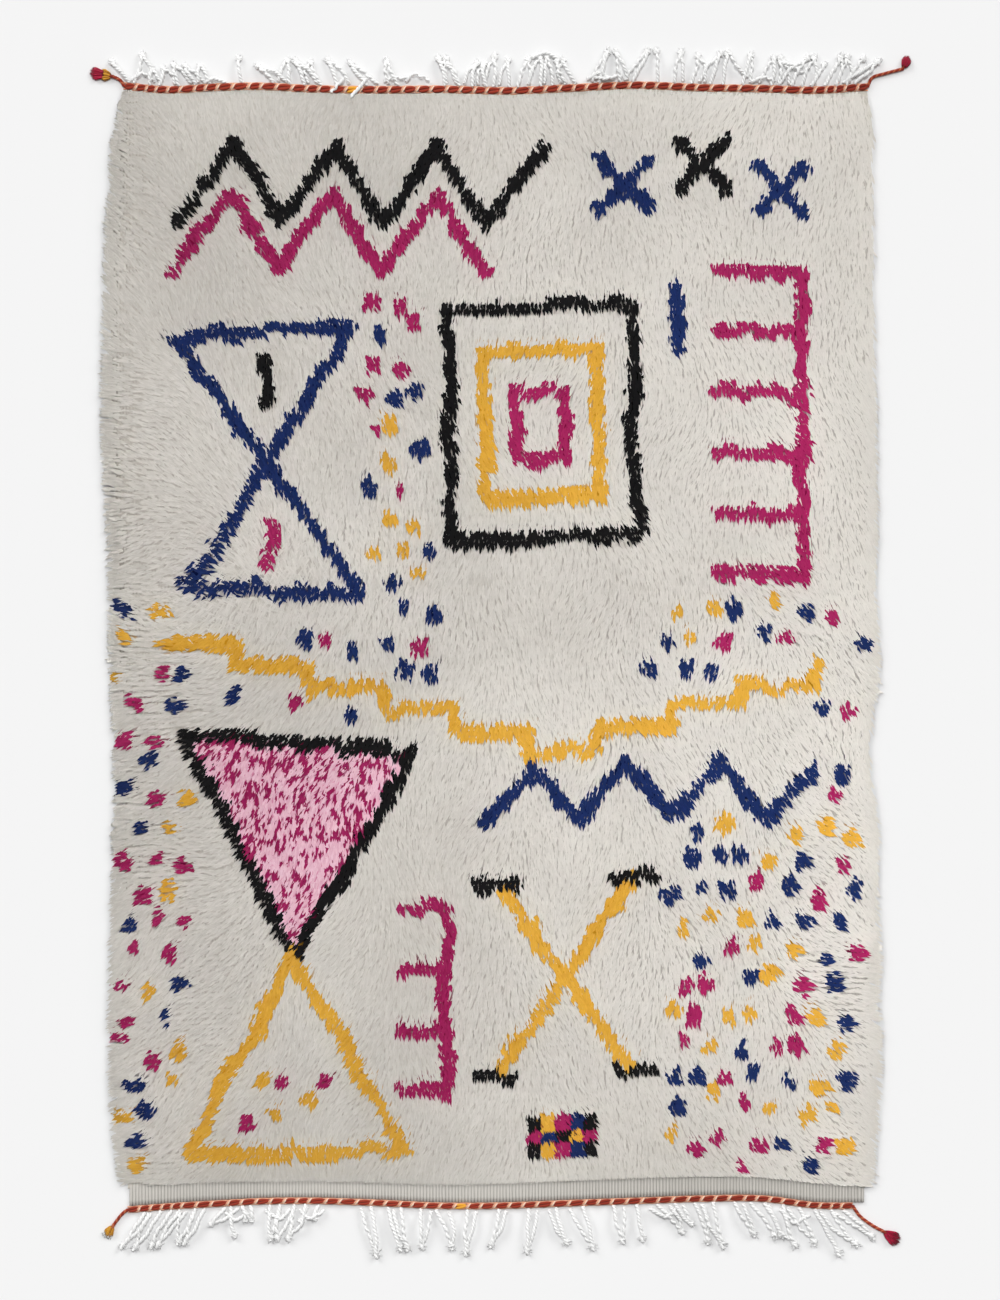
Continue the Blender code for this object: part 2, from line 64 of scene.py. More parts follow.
lens = bpy.data.cameras.new("camera")
lens.sensor_width = SENSOR * 1000
lens.lens = lens.sensor_width * CAMERA_HEIGHT / VIEW_LENGTH
lens.clip_end = CAMERA_HEIGHT * 10
camera = bpy.data.objects.new("camera", lens)
camera.location = (0, VIEW_CENTRE_Y, CAMERA_HEIGHT)
bpy.context.scene.collection.objects.link(camera)
bpy.context.scene.camera = camera

for key in KEYS:
    sun = bpy.data.lights.new(key.name, "SUN")
    sun.energy = key.strength
    sun.angle = key.spread
    sun_lamp = bpy.data.objects.new(key.name, sun)
    sun_lamp.rotation_mode = "QUATERNION"
    sun_lamp.rotation_quaternion = Vector(key.come_from).to_track_quat("Z", "Y")
    bpy.context.scene.collection.objects.link(sun_lamp)

sky = bpy.data.worlds.new("sky")
sky.use_nodes = True
sky.node_tree.nodes["Background"].inputs["Color"].default_value = (1, 1, 1, 1)
sky.node_tree.nodes["Background"].inputs["Strength"].default_value = SKY_STRENGTH
bpy.context.scene.world = sky
bpy.context.scene.view_settings.view_transform = "Standard"


def place(bm, name, *materials):
    """Turn a finished bmesh into an object at the origin."""
    mesh = bpy.data.meshes.new(name)
    bm.to_mesh(mesh)
    bm.free()
    return place_mesh(mesh, name, *materials)


def place_mesh(mesh, name, *materials):
    for material in materials:
        mesh.materials.append(material)
    obj = bpy.data.objects.new(name, mesh)
    bpy.context.scene.collection.objects.link(obj)
    return obj


def plain_material(name, colour, roughness):
    material = bpy.data.materials.new(name)
    material.use_nodes = True
    shader = material.node_tree.nodes["Principled BSDF"]
    shader.inputs["Base Color"].default_value = (*colour, 1)
    shader.inputs["Roughness"].default_value = roughness
    return material


bm = bmesh.new()
bmesh.ops.create_grid(bm, x_segments=1, y_segments=1, size=FLOOR_SIZE / 2)
bmesh.ops.translate(bm, vec=(0, 0, -FLOOR_DROP), verts=bm.verts)
floor = place(bm, "floor", plain_material("floor_paint", FLOOR_COLOUR, 0.9))


# The rug's outline: where the two edging cords run, where the pile ends above the band, and how far the
# ground reaches at the sides. All of it is taken from the solids, whose side locks reach past the ground.
CORD_HALF_WIDTH = 0.0083
GAP = 0.0003
PILE_END_HEIGHT = 0.0105
SIDE_LOCK_HEIGHT = 0.0045
SIDE_LOCK_REACH = 0.016
BRAID_CREST_RANGE = (0.0050, 0.0069)


def points_at(node, low, high):
    """The node's points between two heights, once each, from left to right."""
    points = np.array([vert.co[:] for vert in nodes[node].data.vertices])
    points = points[(points[:, 2] > low) & (points[:, 2] < high)]
    return np.unique(points.round(5), axis=0)


def cord_centre(node):
    """The middle line of one edging cord with its braids, and which of its points are on the braids."""
    crest = points_at(node, BRAID_CREST_RANGE[0], 1)
    return crest[:, :2], crest[:, 2] < BRAID_CREST_RANGE[1]


top_cord, top_is_braid = cord_centre("edging_top")
bottom_cord, bottom_is_braid = cord_centre("edging_bottom")
pile_ends = points_at("rug", PILE_END_HEIGHT - 1e-5, PILE_END_HEIGHT + 1e-5)
pile_ends = pile_ends[pile_ends[:, 1] < 0]
side_tips = points_at("rug", SIDE_LOCK_HEIGHT - 1e-5, SIDE_LOCK_HEIGHT + 1e-5)


def side_of_ground(tips):
    """Places up the rug, and how far the ground reaches there, averaged over neighbouring locks."""
    tips = tips[np.argsort(tips[:, 1])]
    inward = -np.sign(tips[0, 0]) * SIDE_LOCK_REACH
    padded = np.pad(tips[:, 0], 1, mode="edge")
    return tips[:, 1], (padded[:-2] + padded[1:-1] + padded[2:]) / 3 + inward


left_side = side_of_ground(side_tips[side_tips[:, 0] < 0])
right_side = side_of_ground(side_tips[side_tips[:, 0] > 0])


def left_x(y):
    return np.interp(y, *left_side)


def right_x(y):
    return np.interp(y, *right_side)


def top_cord_y(x):
    return np.interp(x, *top_cord[~top_is_braid].T)


def bottom_cord_y(x):
    return np.interp(x, *bottom_cord[~bottom_is_braid].T)


def pile_top_y(x):
    return top_cord_y(x) - CORD_HALF_WIDTH - GAP


def pile_end_y(x):
    return np.interp(x, pile_ends[:, 0], pile_ends[:, 1])


def on_rug(across, along):
    """Points of the cloth from their shares of its width and of its pile's length down from the top."""
    level = pile_top_y(0) + (pile_end_y(0) - pile_top_y(0)) * along
    x = left_x(level) + (right_x(level) - left_x(level)) * across
    return x, pile_top_y(x) + (pile_end_y(x) - pile_top_y(x)) * along


# The weaver ties the motifs by eye, knot by knot and row by row: zigzags, squares in squares, crosses,
# combs and two triangles tip to tip, with loose flecks between. The design is a free one of the kinds of
# figure that many such rugs share. Each knot is one yarn: cream, magenta, navy, black, gold or pink.
KNOTS_ACROSS = 236
KNOT_ROWS = 206
DESIGN_WIDTH = 1.52
DESIGN_TOP = 1.11
DESIGN_LENGTH = 2.17
LINE_WIDTH = 0.025
LINE_UNEVENNESS = 0.16
WAVER = 0.0042
WAVER_POINTS = 90
ROW_WAVER = 0.3
DRIFT = 0.55
DRIFT_ROWS = 15
PINK_RUNS = 0.35
PINK_BELOW = 0.80
FLECK_SPACING = 0.062
FLECK_SCATTER = (0.009, 0.010)
FLECK_SIZE = 0.0155
FLECK_SIZES = (0.75, 1.15)
FLECK_CLEARANCE = 0.034
FLECK_RAGGEDNESS = 0.0022
CREAM, MAGENTA, NAVY, BLACK, GOLD, PINK = range(6)

rng = np.random.default_rng(11)
knot_across, knot_along = np.meshgrid(
    (np.arange(KNOTS_ACROSS) + 0.5) / KNOTS_ACROSS,
    (np.arange(KNOT_ROWS) + 0.5) / KNOT_ROWS,
)
knot_x = (knot_across - 0.5) * DESIGN_WIDTH
knot_y = DESIGN_TOP - knot_along * DESIGN_LENGTH
yarn = np.full(knot_x.shape, CREAM)


def segment_distance(start, stop, x, y):
    """How far each knot is from a straight line between two corners."""
    run = np.subtract(stop, start)
    share = ((x - start[0]) * run[0] + (y - start[1]) * run[1]) / (run @ run)
    share = share.clip(0, 1)
    return np.hypot(x - start[0] - share * run[0], y - start[1] - share * run[1])


def tie_line(colour, corners):
    """Tie a line through some corners. It wavers from row to row and its width is a little uneven."""
    drift = np.cumsum(rng.normal(0, 1, KNOT_ROWS))
    settled = np.convolve(drift, np.ones(DRIFT_ROWS) / DRIFT_ROWS, mode="same")
    drift = (drift - settled) * WAVER * DRIFT
    x = knot_x + drift[:, None] + rng.normal(0, WAVER * ROW_WAVER, (KNOT_ROWS, 1))
    y = knot_y + np.interp(knot_x, np.linspace(-1, 1, WAVER_POINTS), rng.normal(0, WAVER, WAVER_POINTS))
    half = LINE_WIDTH / 2 * (1 + rng.normal(0, LINE_UNEVENNESS, (KNOT_ROWS, 1)))
    for start, stop in pairwise(corners):
        yarn[segment_distance(start, stop, x, y) < half] = colour


def tie_shape(colour, corners):
    tie_line(colour, [*corners, corners[0]])


def inside(corners):
    """Which knots lie inside a shape."""
    crossings = np.zeros(knot_x.shape, int)
    for (x0, y0), (x1, y1) in pairwise([*corners, corners[0]]):
        if y0 == y1:
            continue
        spans = (knot_y > min(y0, y1)) & (knot_y <= max(y0, y1))
        crossings += spans & (knot_x < x0 + (knot_y - y0) * (x1 - x0) / (y1 - y0))
    return crossings % 2 == 1


def tie_mottled(corners):
    """Fill a shape with magenta knots and short runs of pale pink ones among them."""
    filled = inside(corners)
    speckle = rng.random(yarn.shape) + PINK_RUNS * np.roll(rng.random(yarn.shape), 1, axis=1)
    yarn[filled] = np.where(speckle > PINK_BELOW, MAGENTA, PINK)[filled]


def zigzag(start, step, rise, count):
    """Corners of a zigzag that starts low."""
    return [(start[0] + step * place, start[1] + rise * (place % 2)) for place in range(count)]


def box(centre, width, height):
    x, y = centre
    across, up = width / 2, height / 2
    return [(x - across, y - up), (x + across, y - up), (x + across, y + up), (x - across, y + up)]


def tie_cross(colour, centre, size):
    x, y = centre
    tie_line(colour, [(x - size, y - size), (x + size, y + size)])
    tie_line(colour, [(x - size, y + size), (x + size, y - size)])


def tie_comb(colour, foot, height, teeth, reach):
    """Tie an upright stem with level teeth to one side, or to the other if reach is negative."""
    x, y = foot
    tie_line(colour, [foot, (x, y + height)])
    for tooth in range(teeth):
        level = y + height * tooth / (teeth - 1)
        tie_line(colour, [(x, level), (x + reach, level)])


def tie_flecks(colours, corners):
    """Scatter flecks of a few knots each over the plain ground inside a shape."""
    columns = int(DESIGN_WIDTH / FLECK_SPACING)
    rows = int(DESIGN_LENGTH / FLECK_SPACING)
    plain_ground = yarn.copy()
    allowed = inside(corners)
    for row in range(rows):
        for column in range(columns):
            x = (column + 0.5 * (row % 2) - columns / 2) * FLECK_SPACING + rng.normal(0, FLECK_SCATTER[0])
            y = DESIGN_TOP - (row + 0.5) * FLECK_SPACING + rng.normal(0, FLECK_SCATTER[1])
            size = FLECK_SIZE * rng.uniform(*FLECK_SIZES)
            colour = colours[rng.integers(len(colours))]
            near = np.hypot(knot_x - x, knot_y - y)
            if not allowed.ravel()[near.argmin()] or (plain_ground[near < FLECK_CLEARANCE] != CREAM).any():
                continue
            ragged = near + rng.normal(0, FLECK_RAGGEDNESS, near.shape)
            yarn[ragged < size] = colour


# The first rows: a black and a magenta zigzag, and a black cross between two navy ones.
tie_line(BLACK, zigzag((-0.64, 0.86), 0.105, 0.15, 8))
tie_line(MAGENTA, zigzag((-0.64, 0.765), 0.105, 0.15, 7))
for cross_x, cross_y, cross_colour in ((0.26, 0.93, NAVY), (0.42, 0.97, BLACK), (0.58, 0.93, NAVY)):
    tie_cross(cross_colour, (cross_x, cross_y), 0.048)

# Squares in squares, black round gold round magenta, with a magenta comb beside them.
tie_shape(BLACK, box((0.10, 0.46), 0.37, 0.46))
tie_shape(GOLD, box((0.10, 0.46), 0.23, 0.29))
tie_shape(MAGENTA, box((0.10, 0.46), 0.10, 0.13))
tie_comb(MAGENTA, (0.62, 0.16), 0.60, 6, -0.17)
tie_line(NAVY, [(0.37, 0.72), (0.37, 0.60)])

# Two navy triangles tip to tip, with a black stroke in the upper one and a magenta one in the lower.
tie_shape(NAVY, [(-0.64, 0.63), (-0.28, 0.65), (-0.45, 0.38)])
tie_shape(NAVY, [(-0.45, 0.38), (-0.62, 0.13), (-0.27, 0.12)])
tie_line(BLACK, [(-0.455, 0.585), (-0.45, 0.50)])
tie_line(MAGENTA, [(-0.445, 0.26), (-0.45, 0.18)])

# A gold stepped line crosses the rug with a navy zigzag below it.
steps = [(-0.66, 0.02)]
for step in range(9):
    steps.append((steps[-1][0] + 0.145, steps[-1][1]))
    steps.append((steps[-1][0], steps[-1][1] - 0.042 * (1 if step < 5 else -1)))
tie_line(GOLD, steps)
tie_line(NAVY, zigzag((-0.02, -0.33), 0.095, 0.11, 8))

# Two tall triangles tip to tip, the upper one mottled, the lower one around flecks.
UPPER_TRIANGLE = [(-0.63, -0.16), (-0.17, -0.19), (-0.40, -0.60)]
LOWER_TRIANGLE = [(-0.40, -0.60), (-0.62, -1.00), (-0.18, -0.98)]
tie_mottled(UPPER_TRIANGLE)
tie_shape(BLACK, UPPER_TRIANGLE)
tie_shape(GOLD, LOWER_TRIANGLE)

# A gold cross with black bars, a magenta comb, and a checked box by the last rows.
tie_line(GOLD, [(0.00, -0.45), (0.28, -0.83)])
tie_line(GOLD, [(0.28, -0.45), (0.00, -0.83)])
for bar_x, bar_y in ((0.00, -0.45), (0.28, -0.45), (0.00, -0.83), (0.28, -0.83)):
    tie_line(BLACK, [(bar_x - 0.035, bar_y), (bar_x + 0.035, bar_y)])
tie_comb(MAGENTA, (-0.10, -0.86), 0.36, 4, -0.085)
CHECK = 0.026
for column in range(5):
    for row in range(3):
        check_x = 0.08 + column * CHECK
        check_y = -0.93 - row * CHECK
        check_colour = (BLACK, GOLD, MAGENTA, NAVY)[(column + 2 * row) % 4]
        yarn[inside(box((check_x, check_y), CHECK, CHECK))] = check_colour

# Loose flecks lie over the lower right, beside the triangles and at the upper right.
THREE_YARNS = (MAGENTA, NAVY, GOLD)
tie_flecks(THREE_YARNS, [(0.33, -0.28), (0.76, -0.20), (0.76, -1.03), (0.33, -1.03)])
tie_flecks(THREE_YARNS, [(-0.76, 0.10), (-0.62, 0.10), (-0.60, -1.02), (-0.76, -1.02)])
tie_flecks(THREE_YARNS, [(0.30, 0.14), (0.74, 0.14), (0.76, -0.12), (0.30, -0.10)])
tie_flecks(THREE_YARNS, [(-0.26, 0.74), (-0.12, 0.74), (-0.12, 0.06), (-0.26, 0.06)])
tie_flecks(THREE_YARNS, [(-0.40, -0.72), (-0.56, -1.00), (-0.24, -1.00)])
tie_flecks((MAGENTA, NAVY), [(-0.60, -0.12), (-0.10, -0.14), (-0.10, 0.06), (-0.60, 0.06)])


def knot_at(across, along):
    """The row and the column of the knot nearest to a place on the cloth."""
    column = (across * KNOTS_ACROSS).astype(int).clip(0, KNOTS_ACROSS - 1)
    row = (along * KNOT_ROWS).astype(int).clip(0, KNOT_ROWS - 1)
    return row, column


# Wool and cotton, as dyed. Every yarn shares one group for its fibres: fine hairs that lie every way,
# and slow changes of shade from one dye bath, one skein and one stretch of wear to the next.
def linear(*levels):
    """A colour as the eye grades it, from 0 to 255, in linear light."""
    return tuple((level / 255) ** 2.2 for level in levels)


YARN_COLOURS = {
    CREAM: ("cream", linear(230, 225, 217), linear(194, 188, 179)),
    MAGENTA: ("magenta", linear(174, 46, 98), linear(120, 18, 60)),
    NAVY: ("navy", linear(36, 52, 100), linear(14, 25, 55)),
    BLACK: ("black", linear(26, 25, 26), linear(7, 7, 8)),
    GOLD: ("gold", linear(232, 177, 70), linear(198, 140, 38)),
    PINK: ("pink", linear(248, 208, 222), linear(216, 140, 168)),
}
FIBRE_SCALE = 620.0
FIBRE_RELIEF = 0.0006
PATCH_SCALE = 3.2
TONE_WEIGHT = 0.50
PATCH_WEIGHT = 0.40
FIBRE_WEIGHT = 0.30
STREAK_WEIGHT = 0.80
DEEP_BELOW = 0.50
LIGHT_ABOVE = 1.30


def chained(tree, operation, values):
    """Join values by one kind of sum, each with what came before it."""
    total = values[0]
    for value in values[1:]:
        part = tree.nodes.new("ShaderNodeMath")
        part.operation = operation
        tree.links.new(total, part.inputs[0])
        tree.links.new(value, part.inputs[1])
        total = part.outputs[0]
    return total


def vector_socket(sockets, identifier):
    """A mix node's socket for vectors, which shares its name with those for other kinds of value."""
    return next(socket for socket in sockets if socket.identifier == identifier)


def make_fibre_group():
    """A node group for yarn: it shades a light and a deep colour by tone, patch and fibre."""
    group = bpy.data.node_groups.new("yarn_fibres", "ShaderNodeTree")
    sockets = (
        ("Light", "NodeSocketColor", (0.8, 0.8, 0.8, 1)),
        ("Deep", "NodeSocketColor", (0.4, 0.4, 0.4, 1)),
        ("Tone", "NodeSocketFloat", 0.5),
        ("Fibre depth", "NodeSocketFloat", 0.4),
        ("Streaks", "NodeSocketVector", (0, 0, 0)),
        ("Nap", "NodeSocketFloat", 0.0),
    )
    for name, kind, value in sockets:
        group.interface.new_socket(name, in_out="INPUT", socket_type=kind).default_value = value
    group.interface.new_socket("Colour", in_out="OUTPUT", socket_type="NodeSocketColor")
    group.interface.new_socket("Normal", in_out="OUTPUT", socket_type="NodeSocketVector")
    new = group.nodes.new
    link = group.links.new
    given = new("NodeGroupInput")
    made = new("NodeGroupOutput")
    coordinates = new("ShaderNodeTexCoord")

    patches = new("ShaderNodeTexNoise")
    patches.inputs["Scale"].default_value = PATCH_SCALE
    patches.inputs["Detail"].default_value = 4
    fibres = new("ShaderNodeTexNoise")
    fibres.inputs["Scale"].default_value = FIBRE_SCALE
    fibres.inputs["Detail"].default_value = 3
    fibres.inputs["Distortion"].default_value = 1.5
    for noise in (patches, fibres):
        link(coordinates.outputs["Object"], noise.inputs["Vector"])

    streaks = new("ShaderNodeTexNoise")
    streaks.inputs["Scale"].default_value = 1.0
    streaks.inputs["Detail"].default_value = 2
    link(given.outputs["Streaks"], streaks.inputs["Vector"])

    parts = []
    for source, strength in (
        (given.outputs["Tone"], TONE_WEIGHT),
        (patches.outputs[0], PATCH_WEIGHT),
        (fibres.outputs[0], FIBRE_WEIGHT),
        (streaks.outputs[0], STREAK_WEIGHT),
    ):
        part = new("ShaderNodeMath")
        part.operation = "MULTIPLY"
        part.inputs[1].default_value = strength
        link(source, part.inputs[0])
        parts.append(part.outputs[0])
    shade = new("ShaderNodeMapRange")
    shade.inputs["From Min"].default_value = DEEP_BELOW
    shade.inputs["From Max"].default_value = LIGHT_ABOVE
    link(chained(group, "ADD", parts), shade.inputs["Value"])
    mix = new("ShaderNodeMix")
    mix.data_type = "RGBA"
    link(shade.outputs["Result"], mix.inputs["Factor"])
    link(given.outputs["Deep"], mix.inputs["A"])
    link(given.outputs["Light"], mix.inputs["B"])
    link(mix.outputs["Result"], made.inputs["Colour"])

    bump = new("ShaderNodeBump")
    bump.inputs["Distance"].default_value = FIBRE_RELIEF
    link(given.outputs["Fibre depth"], bump.inputs["Strength"])
    link(fibres.outputs[0], bump.inputs["Height"])
    upward = new("ShaderNodeMix")
    upward.data_type = "VECTOR"
    vector_socket(upward.inputs, "B_Vector").default_value = (0, 0, 1)
    evened = new("ShaderNodeVectorMath")
    evened.operation = "NORMALIZE"
    link(given.outputs["Nap"], upward.inputs["Factor"])
    link(bump.outputs["Normal"], vector_socket(upward.inputs, "A_Vector"))
    link(vector_socket(upward.outputs, "Result_Vector"), evened.inputs[0])
    link(evened.outputs["Vector"], made.inputs["Normal"])
    return group


# The rug is a little greyer at its left side and both ends than in its middle.
GRADING_LEFT = -0.90
GRADING_RIGHT = 0.90
GRADING_SIDE_SHADE = 0.80
GRADING_END_START = 0.55
GRADING_END_STOP = 1.20
GRADING_END_SHADE = 0.93
GRADING_PATCH_SCALE = 1.9
GRADING_PATCH_SPAN = (0.3, 0.7)
GRADING_PATCH_SHADES = (0.94, 1.06)


def make_grading_group():
    """A node group that darkens a colour by its place on the rug: towards the left side and both ends, and in
    slow patches.
    """
    group = bpy.data.node_groups.new("rug_grading", "ShaderNodeTree")
    group.interface.new_socket("Colour", in_out="INPUT", socket_type="NodeSocketColor")
    group.interface.new_socket("Colour", in_out="OUTPUT", socket_type="NodeSocketColor")
    new = group.nodes.new
    link = group.links.new
    given = new("NodeGroupInput")
    made = new("NodeGroupOutput")
    coordinates = new("ShaderNodeTexCoord")
    place_on_rug = new("ShaderNodeSeparateXYZ")
    link(coordinates.outputs["Object"], place_on_rug.inputs["Vector"])
    from_middle = new("ShaderNodeMath")
    from_middle.operation = "ABSOLUTE"
    link(place_on_rug.outputs["Y"], from_middle.inputs[0])
    patches = new("ShaderNodeTexNoise")
    patches.inputs["Scale"].default_value = GRADING_PATCH_SCALE
    patches.inputs["Detail"].default_value = 5
    link(coordinates.outputs["Object"], patches.inputs["Vector"])
    shades = []
    for source, start, stop, start_shade, stop_shade in (
        (place_on_rug.outputs["X"], GRADING_LEFT, GRADING_RIGHT, GRADING_SIDE_SHADE, 1.0),
        (from_middle.outputs[0], GRADING_END_START, GRADING_END_STOP, 1.0, GRADING_END_SHADE),
        (patches.outputs[0], *GRADING_PATCH_SPAN, *GRADING_PATCH_SHADES),
    ):
        ramp = new("ShaderNodeMapRange")
        ramp.interpolation_type = "SMOOTHSTEP"
        ramp.inputs["From Min"].default_value = start
        ramp.inputs["From Max"].default_value = stop
        ramp.inputs["To Min"].default_value = start_shade
        ramp.inputs["To Max"].default_value = stop_shade
        link(source, ramp.inputs["Value"])
        shades.append(ramp.outputs["Result"])
    shaded = new("ShaderNodeVectorMath")
    shaded.operation = "SCALE"
    link(given.outputs["Colour"], shaded.inputs[0])
    link(chained(group, "MULTIPLY", shades), shaded.inputs["Scale"])
    link(shaded.outputs["Vector"], made.inputs["Colour"])
    return group


fibre_group = make_fibre_group()
grading_group = make_grading_group()


def yarn_material(name, light, deep, fibre_depth=0.4, toned=True, nap=0.0, graded=False):
    """Spun yarn. Where the mesh has a tone for each lock or strand, with painted shade folded into it at
    locks' roots and in the band's grooves, the colour follows it. The hairs of a nap stand every way, so it
    shades by its share less like single locks and more like level cloth."""
    material = bpy.data.materials.new(name)
    material.use_nodes = True
    tree = material.node_tree
    shader = tree.nodes["Principled BSDF"]
    shader.inputs["Roughness"].default_value = 0.92
    shader.inputs["Specular IOR Level"].default_value = 0.15
    shader.inputs["Sheen Weight"].default_value = 0.08
    shader.inputs["Sheen Roughness"].default_value = 0.6
    fibres = tree.nodes.new("ShaderNodeGroup")
    fibres.node_tree = fibre_group
    fibres.inputs["Light"].default_value = (*light, 1)
    fibres.inputs["Deep"].default_value = (*deep, 1)
    fibres.inputs["Fibre depth"].default_value = fibre_depth
    fibres.inputs["Nap"].default_value = nap
    if toned:
        tone_and_shade = tree.nodes.new("ShaderNodeAttribute")
        tone_and_shade.attribute_name = "tone_and_shade"
        tree.links.new(tone_and_shade.outputs["Fac"], fibres.inputs["Tone"])
    if nap:
        streaks = tree.nodes.new("ShaderNodeAttribute")
        streaks.attribute_name = "streaks"
        tree.links.new(streaks.outputs["Vector"], fibres.inputs["Streaks"])
    colour = fibres.outputs["Colour"]
    if graded:
        grading = tree.nodes.new("ShaderNodeGroup")
        grading.node_tree = grading_group
        tree.links.new(colour, grading.inputs["Colour"])
        colour = grading.outputs["Colour"]
    tree.links.new(colour, shader.inputs["Base Color"])
    tree.links.new(fibres.outputs["Normal"], shader.inputs["Normal"])
    return material


# The ground is one cloth of wool warp and weft with the knots tied round its warps. Their lower halves are
# so dense that they make one woolly bed, just under the ends that show, and the yarns' colours show through
# to the back in rows of small bars. It carries the whole pile and lies flat on the floor.
GROUND_THICKNESS = 0.0028
NAP_SINK = 0.0020
BED_DEPTH = 0.0030
DYED_BED_DROP = 0.0010
BED_END_HEIGHT = 0.0058
BED_SIDE_HEIGHT = 0.0050
GROUND_COLUMNS = 118
GROUND_ROWS = 140
EDGE_SHARE = 0.001
WAVE_REPEAT = 0.314  # how far apart a wave texture's bands lie at a scale of 1


def pile_tops():
    """The height of the lumpy pile over every knot, from the solid."""
    bm = bmesh.new()
    bm.from_mesh(nodes["rug"].data)
    tree = BVHTree.FromBMesh(bm)
    bm.free()
    heights = np.empty(knot_x.shape)
    x, y = on_rug(knot_across.ravel(), knot_along.ravel())
    for place_number, (place_x, place_y) in enumerate(zip(x, y)):
        hit = tree.ray_cast(Vector((place_x, place_y, 1)), Vector((0, 0, -1)))[0]
        heights.flat[place_number] = hit.z if hit else PILE_END_HEIGHT
    return heights


knot_heights = pile_tops()


def close_below(bm, height):
    """Make one closed sheet of a raised grid, with a level underside."""
    lowered = bmesh.ops.duplicate(bm, geom=bm.faces[:] + bm.verts[:] + bm.edges[:])["geom"]
    for item in lowered:
        if isinstance(item, bmesh.types.BMVert):
            item.co.z = height
    bmesh.ops.bridge_loops(bm, edges=[edge for edge in bm.edges if edge.is_boundary])
    bmesh.ops.recalc_face_normals(bm, faces=bm.faces)


def make_ground():
    bm = bmesh.new()
    bmesh.ops.create_grid(bm, x_segments=GROUND_COLUMNS, y_segments=GROUND_ROWS, size=0.5)
    shares = np.array([vert.co[:2] for vert in bm.verts]) + 0.5
    along = 1 - shares[:, 1]
    x, y = on_rug(shares[:, 0], along)
    nearest = knot_at(shares[:, 0], along)
    height = knot_heights[nearest] - NAP_SINK - BED_DEPTH
    height -= DYED_BED_DROP * (yarn[nearest] != CREAM)
    height = np.where(along < EDGE_SHARE, BED_END_HEIGHT, height)
    height = np.where(along > 1 - EDGE_SHARE, GROUND_THICKNESS, height)
    height = np.where(abs(shares[:, 0] - 0.5) > 0.5 - EDGE_SHARE, BED_SIDE_HEIGHT, height)
    for vert, place_x, place_y, place_z in zip(bm.verts, x, y, height):
        vert.co = (place_x, place_y, place_z)
    close_below(bm, 0)
    obj = place(bm, "ground", ground_wool())
    points = np.array([vert.co[:2] for vert in obj.data.vertices])
    across = (points[:, 0] - left_x(points[:, 1])) / (right_x(points[:, 1]) - left_x(points[:, 1]))
    top, end = pile_top_y(points[:, 0]), pile_end_y(points[:, 0])
    along = (top - points[:, 1]) / (top - end)
    shown = yarn[knot_at(across, along)]
    # The bed takes each yarn's deep colour, not its light one: painted shade, for it lies under the ends that
    # show.
    colours = np.array([(*YARN_COLOURS[number][2], 1) for number in range(len(YARN_COLOURS))])[shown]
    attribute = obj.data.color_attributes.new("knots", "FLOAT_COLOR", "POINT")
    attribute.data.foreach_set("color", colours.ravel())
    return obj


def ground_wool():
    """Woven wool that takes each knot's deep colour, which is painted shade under the ends that show, with
    the warps' ribs and a shot of weft between rows.
    """
    material = bpy.data.materials.new("ground_wool")
    material.use_nodes = True
    tree = material.node_tree
    new = tree.nodes.new
    link = tree.links.new
    shader = tree.nodes["Principled BSDF"]
    shader.inputs["Roughness"].default_value = 0.95
    shader.inputs["Specular IOR Level"].default_value = 0.1
    knots = new("ShaderNodeAttribute")
    knots.attribute_name = "knots"
    coordinates = new("ShaderNodeTexCoord")
    waves = []
    for direction, spacing, distortion in (
        ("X", DESIGN_WIDTH / KNOTS_ACROSS, 0.6),
        ("Y", DESIGN_LENGTH / KNOT_ROWS, 0.8),
    ):
        wave = new("ShaderNodeTexWave")
        wave.wave_type = "BANDS"
        wave.bands_direction = direction
        wave.inputs["Scale"].default_value = WAVE_REPEAT / spacing
        wave.inputs["Distortion"].default_value = distortion
        link(coordinates.outputs["Object"], wave.inputs["Vector"])
        waves.append(wave.outputs["Fac"])
    weave = chained(tree, "MULTIPLY", waves)
    fibres = new("ShaderNodeGroup")
    fibres.node_tree = fibre_group
    deeper = new("ShaderNodeMix")
    deeper.data_type = "RGBA"
    deeper.blend_type = "MULTIPLY"
    deeper.inputs["Factor"].default_value = 1
    deeper.inputs["B"].default_value = (0.90, 0.89, 0.88, 1)
    link(knots.outputs["Color"], deeper.inputs["A"])
    link(knots.outputs["Color"], fibres.inputs["Light"])
    link(deeper.outputs["Result"], fibres.inputs["Deep"])
    link(weave, fibres.inputs["Tone"])
    link(fibres.outputs["Colour"], shader.inputs["Base Color"])
    bump = new("ShaderNodeBump")
    bump.inputs["Distance"].default_value = 0.0012
    bump.inputs["Strength"].default_value = 0.8
    link(weave, bump.inputs["Height"])
    link(fibres.outputs["Normal"], bump.inputs["Normal"])
    link(bump.outputs["Normal"], shader.inputs["Normal"])
    return material


ground = make_ground()
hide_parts("rug")
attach(ground, "root")


# The pile: each knot's yarn stands up from the ground as two cut ends. They lie over one another like
# feathers, down the rug in the middle and outward along both sides, where they hang past the ground. At
# the upper left they lie aslant the other way, and only those at the very edge turn outward.
LOCK_LENGTH = 0.0255
LOCK_WIDTH = 0.0060
LOCK_FLATNESS = 0.11
LOCK_FULLEST = 0.42
LOCK_POLE = 1e-3
